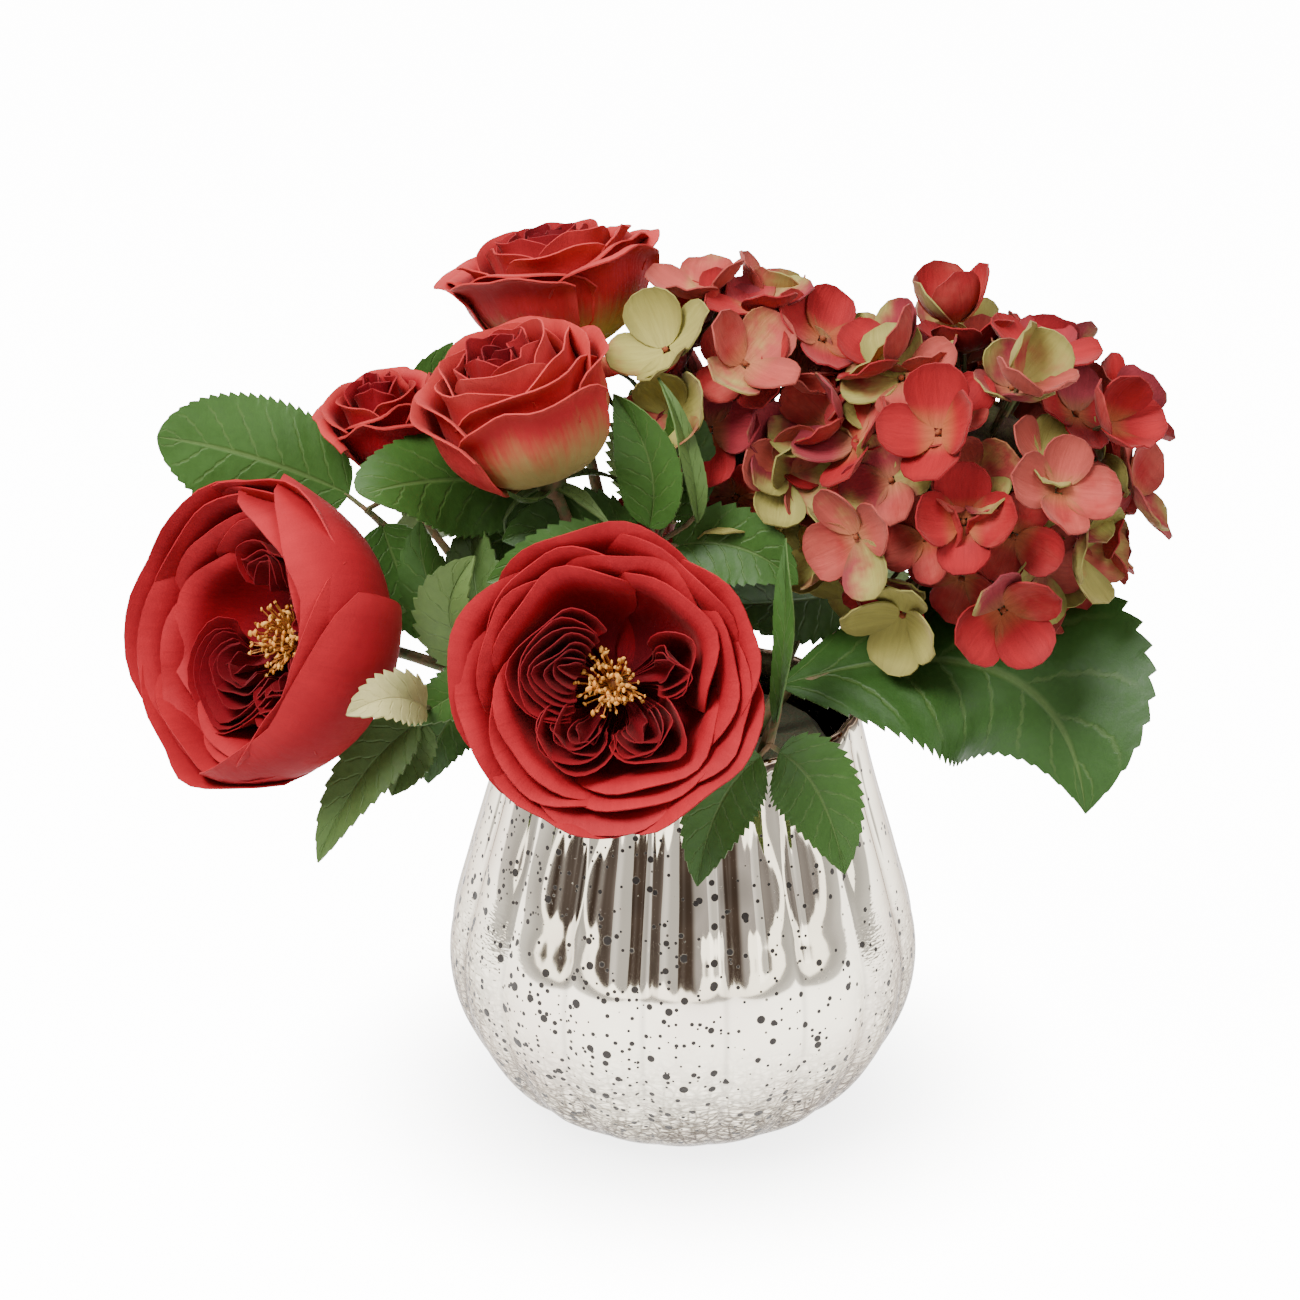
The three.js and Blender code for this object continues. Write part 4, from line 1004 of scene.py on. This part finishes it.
def radius_at(height):
    """Radius of the vase over its lobes, by the smooth line in the part's source."""
    pairs = VASE_OUTSIDE
    k = 0
    while k < len(pairs) - 2 and height > pairs[k + 1][0]:
        k += 1

    def slope(i):
        a, b = pairs[max(0, i - 1)], pairs[min(len(pairs) - 1, i + 1)]
        return (b[1] - a[1]) / (b[0] - a[0])

    (z0, r0), (z1, r1) = pairs[k], pairs[k + 1]
    t, span = (height - z0) / (z1 - z0), z1 - z0
    return (r0 * (1 + 2 * t) * (1 - t) ** 2 + r1 * t * t * (3 - 2 * t)
            + span * (slope(k) * t * (1 - t) ** 2 - slope(k + 1) * t * t * (1 - t)))


def vase_profile():
    """Outline of the wall: under the foot, up the outside, over the rounded lip and down the inside."""
    lip = VASE_WALL / 2
    outside = [(radius_at(h), h) for h in (0.6 + (VASE_HEIGHT - lip - 0.6) * k / 40 for k in range(41))]
    centre = radius_at(VASE_HEIGHT) - lip
    mouth = [(centre + lip * math.cos(a), VASE_HEIGHT - lip + lip * math.sin(a))
             for a in (math.pi * k / 8 for k in range(1, 8))]
    inside = [(radius_at(h) - VASE_WALL - RIB_DEPTH * min(1, (VASE_HEIGHT - h) / 10), h)
              for h in (VASE_HEIGHT - lip - (VASE_HEIGHT - lip - VASE_WALL) * k / 14 for k in range(15))]
    foot = [(0, 0.8), (VASE_FOOT, 0.8), (44, 0), (48.4, 0)]
    return [*foot, *outside, *mouth, *inside, (0, VASE_WALL)]


def build_vase(settings):
    bm = new_mesh()
    chain = [bm.verts.new(Vector((r, 0, z)) * MM) for r, z in vase_profile()]
    edges = [bm.edges.new(pair) for pair in zip(chain, chain[1:])]
    bmesh.ops.spin(bm, geom=chain + edges, axis=UP, cent=(0, 0, 0), angle=2 * math.pi,
                   steps=VASE_RIBS * settings.steps, use_merge=True)
    bmesh.ops.remove_doubles(bm, verts=bm.verts, dist=0.00001)
    for vert in bm.verts:
        radius, height = math.hypot(vert.co.x, vert.co.y) / MM, vert.co.z / MM
        if radius < 20 or radius < radius_at(height) - VASE_WALL - 0.5:
            continue
        lobe = abs(math.sin(math.atan2(vert.co.y, vert.co.x) * VASE_RIBS / 2)) ** 0.8
        fade = min(1, 0.35 + height / 12) * min(1, 0.3 + (VASE_HEIGHT - height) / 14)
        vert.co.xy *= (radius - RIB_DEPTH * fade * (1 - lobe)) / radius
    bmesh.ops.recalc_face_normals(bm, faces=bm.faces)
    finish_piece(bm, "silvered_vase", ["silvered glass"], ["vase"])


def flecks_at(place, crowd, spacing, size):
    """A mask of round flecks. crowd adds more of them and makes them larger."""
    cells = add(place.tree, "TexVoronoi", {"Vector": place, "Scale": 1 / spacing})
    chance = add(place.tree, "SeparateColor", {0: cells["Color"]})[0]
    reach = (crowd * 0.5 + 0.75) * chance * size
    return (reach - cells["Distance"]).smooth(-0.015, 0.02) * (chance + crowd).smooth(0.5, 0.6)


def cracks_at(place, scale):
    cells = add(place.tree, "TexVoronoi", {"Vector": place, "Scale": scale}, feature="DISTANCE_TO_EDGE")
    return cells["Distance"].fade(0.0, 0.2)


def silvered_glass(settings):
    """A mirror coat behind clear glass, with dark flecks, warm clouds, fine cracks low down and painted shade
    in the valleys between the ribs.
    """
    tree, shader = new_material("silvered glass", 0.08, Coat_Weight=0.12, Coat_Roughness=0.02,
                                Specular_Tint=(0.42, 0.38, 0.36, 1))
    place = add(tree, "TexCoord")["Object"]
    x, y, height = place.parts()
    cloud = place.noise(24.0, 4.0, 0.6)
    low, foot = height.fade(0.03, 0.1), height.fade(0.008, 0.062)
    crowd = (low * 0.2 + x.fade(-0.08, 0.02) * 0.4) * (cloud * 1.2 + 0.25)
    flecks = flecks_at(place, crowd, settings.scale, 0.39)
    flecks = flecks.most(flecks_at(place, crowd * 1.3 - 0.2, settings.scale * 0.5, 0.42))
    flank = abs(x).smooth(0.052, 0.078) * low * 0.8
    ragged = foot.most(flank) * cloud.smooth(0.2, 0.45)
    lines = cracks_at(place.stretched(1, 1, 2.6), 165.0)
    lines = lines.most(cracks_at(place.stretched(1, 1, 0.4), 240.0)) * ragged
    cells = add(tree, "TexVoronoi", {"Vector": place.stretched(1, 1, 2.4), "Scale": 420.0})
    chips = add(tree, "SeparateColor", {0: cells["Color"]})[1].smooth(0.4, 0.8) * ragged * 0.75
    # Painted shade: the coat is darker in the valleys between the ribs.
    groove = abs((y.math("ARCTAN2", x) * (VASE_RIBS / 2)).math("SINE")).fade(0.0, 0.2) * 0.35
    lip = (cloud * 0.006 + height).smooth(VASE_HEIGHT * MM - 0.001, VASE_HEIGHT * MM + 0.002)
    body = blend(tree, cloud.smooth(0.42, 0.75), settings.silver, settings.blush)
    for mask, over in ((chips, settings.shade), (lines * 0.9, settings.fleck), (groove, settings.shade),
                       (flecks, settings.fleck), (lip, settings.lip)):
        body = blend(tree, mask, body, over)
    plug(body, shader.inputs["Base Color"])
    plug(cloud * 0.05 + low * 0.09 + flecks * 0.4 + 0.01, shader.inputs["Roughness"])
    plug(flecks * -0.9 + 1.0, shader.inputs["Metallic"])
    ripple = place.stretched(1, 1, 0.6).noise(34.0, 1.0, 0.4)
    bump(shader, cells["Distance"] * ragged * 1.6 + lines * -0.6 + ripple * 2.2, 0.0006, 0.5)


# ---------------------------------------------------------------- operators


class CENTERPIECE_OT_finishes(bpy.types.Operator):
    """Makes the cloth, leaf, glass and foam materials"""

    bl_idname = "centerpiece.finishes"
    bl_label = "Finishes"

    def execute(self, context):
        looks, glass = context.scene.centerpiece_flowers, context.scene.centerpiece_vase
        make_grain_group()
        make_mottle_group()
        make_petal_group()
        make_floret_group()
        make_leaf_group()
        # The open roses' petal heels take the heart shade colour: painted shade low in the bloom.
        rose_cloth("deep red cloth", looks.deep_red, looks.deep_rim, looks.heart_shade, looks.heart_shade, 0.12)
        rose_cloth("bud cloth", looks.deep_red, looks.coral_rim, looks.cream, looks.heart_shade, 0.3)
        rose_cloth("coral cloth", looks.coral_red, looks.coral_rim, looks.cream, looks.heart_shade, 0.5)
        floret_cloth(looks)
        leaf_cloth("small leaf", looks.leaf_green, looks)
        # The big leaf takes the darker leaf green: painted shade.
        leaf_cloth("big leaf", looks.leaf_deep_shade, looks)
        mottled("stalk wrap", looks.stalk, (0.16, 0.09, 0.04), 220.0, 0.7, 0.0004)
        mottled("head core", (0.05, 0.02, 0.012), (0.07, 0.07, 0.02), 160.0, 0.8, 0.002)
        mottled("pollen grain", looks.pollen, (0.7, 0.36, 0.07), 500.0, 0.6, 0.0002)
        mottled("pollen thread", (0.3, 0.07, 0.01), (0.5, 0.2, 0.03), 600.0, 0.6, 0.0002)
        mottled("dry foam", glass.foam, (0.06, 0.045, 0.02), 500.0, 0.95, 0.0012)
        silvered_glass(glass)
        return {"FINISHED"}


class CENTERPIECE_OT_roses(bpy.types.Operator):
    """Builds the five roses with their stalks and stamens"""

    bl_idname = "centerpiece.roses"
    bl_label = "Roses"

    def execute(self, context):
        looks = context.scene.centerpiece_flowers
        for name, rose in ROSES.items():
            build_bloom(name, rose, looks)
            build_rose_stalk(name, rose, looks)
            if rose["cloth"] == "deep red cloth":
                build_pollen(name, rose)
        return {"FINISHED"}


class CENTERPIECE_OT_hydrangeas(bpy.types.Operator):
    """Builds the hydrangea heads and their stalks with the big leaf"""

    bl_idname = "centerpiece.hydrangeas"
    bl_label = "Hydrangeas"

    def execute(self, context):
        looks = context.scene.centerpiece_flowers
        for name, head in HYDRANGEAS.items():
            build_head(name, head, looks)
            build_head_stalk(name, head, looks)
        return {"FINISHED"}


class CENTERPIECE_OT_leaves(bpy.types.Operator):
    """Builds the leafy sprays"""

    bl_idname = "centerpiece.leaves"
    bl_label = "Leafy sprays"

    def execute(self, context):
        for name, plan in SPRAYS.items():
            build_spray(name, plan, context.scene.centerpiece_flowers)
        return {"FINISHED"}


class CENTERPIECE_OT_vase(bpy.types.Operator):
    """Builds the ribbed vase and finishes the foam"""

    bl_idname = "centerpiece.vase"
    bl_label = "Vase and foam"

    def execute(self, context):
        build_vase(context.scene.centerpiece_vase)
        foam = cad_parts["floral_foam"]
        for slot in foam.material_slots:
            slot.material = material_of("dry foam")
        return {"FINISHED"}


class CENTERPIECE_OT_stage(bpy.types.Operator):
    """Sets out the floor, the lights and the camera"""

    bl_idname = "centerpiece.stage"
    bl_label = "Stage"

    def execute(self, context):
        settings = context.scene.centerpiece_stage
        build_floor(settings)
        build_lights(settings)
        build_world()
        build_camera(settings)
        return {"FINISHED"}


def build_floor(settings):
    bm = bmesh.new()
    low = Matrix.Translation((0, 0, -0.0002))
    bmesh.ops.create_circle(bm, cap_ends=True, segments=96, radius=FLOOR_RADIUS, matrix=low)
    mesh = bpy.data.meshes.new("floor")
    bm.to_mesh(mesh)
    bm.free()
    floor = bpy.data.objects.new("floor", mesh)
    tree, shader = new_material("pale floor", 0.6, Specular_IOR_Level=0.2)
    place = add(tree, "TexCoord")["Object"]
    shade = [c * 0.985 for c in settings.floor]
    plug(blend(tree, place.noise(30.0), settings.floor, shade), shader.inputs["Base Color"])
    # The floor glows only to camera rays, so that it looks evenly white, and in reflections, as painted light
    # that the vase mirrors. Round the vase's foot the camera sees only 0.3 of the glow: a painted shadow.
    clear_of_painted_shadow = add(tree, "VectorMath", {0: place}, operation="LENGTH")["Value"].smooth(0.045, 0.16)
    beside = abs(place.parts()[0]).smooth(0.75, 0.9)
    seen = add(tree, "LightPath")
    glow = seen["Is Camera Ray"] * (clear_of_painted_shadow * 0.7 + 0.3) * settings.glow
    glow += seen["Is Glossy Ray"] * (beside * -0.93 + 1.0) * settings.mirror_glow
    shader.inputs["Emission Color"].default_value = (1, 0.995, 0.985, 1)
    plug(glow, shader.inputs["Emission Strength"])
    mesh.materials.append(material_of("pale floor"))
    bpy.context.scene.collection.objects.link(floor)


def add_light(name, spot, size, power):
    """A soft light that is aimed at the flowers."""
    data = bpy.data.lights.new(name, "AREA")
    data.shape = "ELLIPSE" if size[0] == size[1] else "RECTANGLE"
    data.size, data.size_y, data.energy = *size, power
    light = bpy.data.objects.new(name, data)
    light.location = spot
    light.rotation_euler = (LIGHTS_MIDDLE - light.location).to_track_quat("-Z", "Y").to_euler()
    bpy.context.scene.collection.objects.link(light)


def build_lights(settings):
    """Two soft lights in front, one behind and two strips that streak the vase."""
    add_light("key", (-0.65, -0.75, 1.4), (0.7, 0.7), settings.key)
    add_light("fill", (1.0, -0.5, 1.15), (0.9, 0.9), settings.fill)
    add_light("back", (0.2, 1.2, 1.3), (1.0, 1.0), settings.fill)
    add_light("strip left", (-0.75, -2.1, 0.55), (0.9, 1.0), settings.fill * 0.2)
    add_light("strip right", (1.3, -1.7, 0.55), (0.5, 0.8), settings.fill * 0.1)


def build_world():
    """A sky with a dark band low down and bright patches, which the vase mirrors."""
    world = bpy.data.worlds.new("studio")
    world.use_nodes = True
    tree = world.node_tree
    way = add(tree, "TexCoord")["Generated"]
    _, depth, rise = way.parts()
    ramp = tree.nodes.new("ShaderNodeValToRGB")
    plug(rise, ramp.inputs[0])
    stops = ramp.color_ramp.elements
    stops[0].position, stops[0].color = 0.0, (0.5, 0.5, 0.5, 1)
    stops[1].position, stops[1].color = 0.8, (1, 1, 1, 1)
    for position, grey in ((0.02, 0.1), (0.12, 0.16), (0.16, 0.06), (0.3, 0.1), (0.45, 0.7)):
        stops.new(position).color = (grey, grey * 0.9, grey * 0.85, 1)
    sky = Wire(ramp.outputs[0])
    streaks = way.stretched(1, 1, 0.15).noise(2.6, 1.0).smooth(0.38, 0.62)
    patches = blend(tree, streaks, (0.42, 0.33, 0.29), (2.9, 3.0, 3.2))
    patched = blend(tree, 1.0, sky, patches, "MULTIPLY")
    sky = blend(tree, rise.fade(0.3, 0.42), sky, patched)
    brink = (way.stretched(1, 1, 0.05).noise(3.0, 1.0) * 0.22 - 0.05) * abs(depth)
    table = rise.math("LESS_THAN", brink) * add(tree, "LightPath")["Is Glossy Ray"]
    back = tree.nodes["Background"]
    plug(blend(tree, table, sky, (2.6, 2.5, 2.3)), back.inputs["Color"])
    back.inputs["Strength"].default_value = 1.3
    bpy.context.scene.world = world


def build_camera(settings):
    """Looks along +Y and down, at a point left of the vase's axis."""
    way = Vector((0, math.cos(settings.elevation), -math.sin(settings.elevation)))
    data = bpy.data.cameras.new("camera")
    data.sensor_width = FILM
    data.lens = FILM * settings.distance / settings.width
    data.clip_start, data.clip_end = 0.05, 60
    camera = bpy.data.objects.new("camera", data)
    camera.location = VIEW_MIDDLE - way * settings.distance
    camera.rotation_euler = way.to_track_quat("-Z", "Y").to_euler()
    bpy.context.scene.collection.objects.link(camera)
    bpy.context.scene.camera = camera


class CENTERPIECE_PT_panel(bpy.types.Panel):
    """Lists the steps that build the centerpiece"""

    bl_label = "Centerpiece"
    bl_idname = "CENTERPIECE_PT_panel"
    bl_space_type = "VIEW_3D"
    bl_region_type = "UI"
    bl_category = "Centerpiece"

    def draw(self, context):
        for settings in SETTINGS:
            box = self.layout.box()
            group = getattr(context.scene, settings)
            for key in group.__annotations__:
                box.prop(group, key)
        for step in STEPS:
            self.layout.operator(step.bl_idname)


SETTINGS = {"centerpiece_flowers": FlowerSettings, "centerpiece_vase": VaseSettings,
            "centerpiece_stage": StageSettings}
STEPS = (CENTERPIECE_OT_finishes, CENTERPIECE_OT_roses, CENTERPIECE_OT_hydrangeas, CENTERPIECE_OT_leaves,
         CENTERPIECE_OT_vase, CENTERPIECE_OT_stage)
CLASSES = (*SETTINGS.values(), *STEPS, CENTERPIECE_PT_panel)


def register():
    for made in CLASSES:
        bpy.utils.register_class(made)
    for key, group in SETTINGS.items():
        setattr(bpy.types.Scene, key, PointerProperty(type=group))


def unregister():
    for key in SETTINGS:
        delattr(bpy.types.Scene, key)
    for made in reversed(CLASSES):
        bpy.utils.unregister_class(made)


def main():
    register()
    for step in STEPS:
        area, name = step.bl_idname.split(".")
        getattr(getattr(bpy.ops, area), name)()


if __name__ == "__main__":
    main()
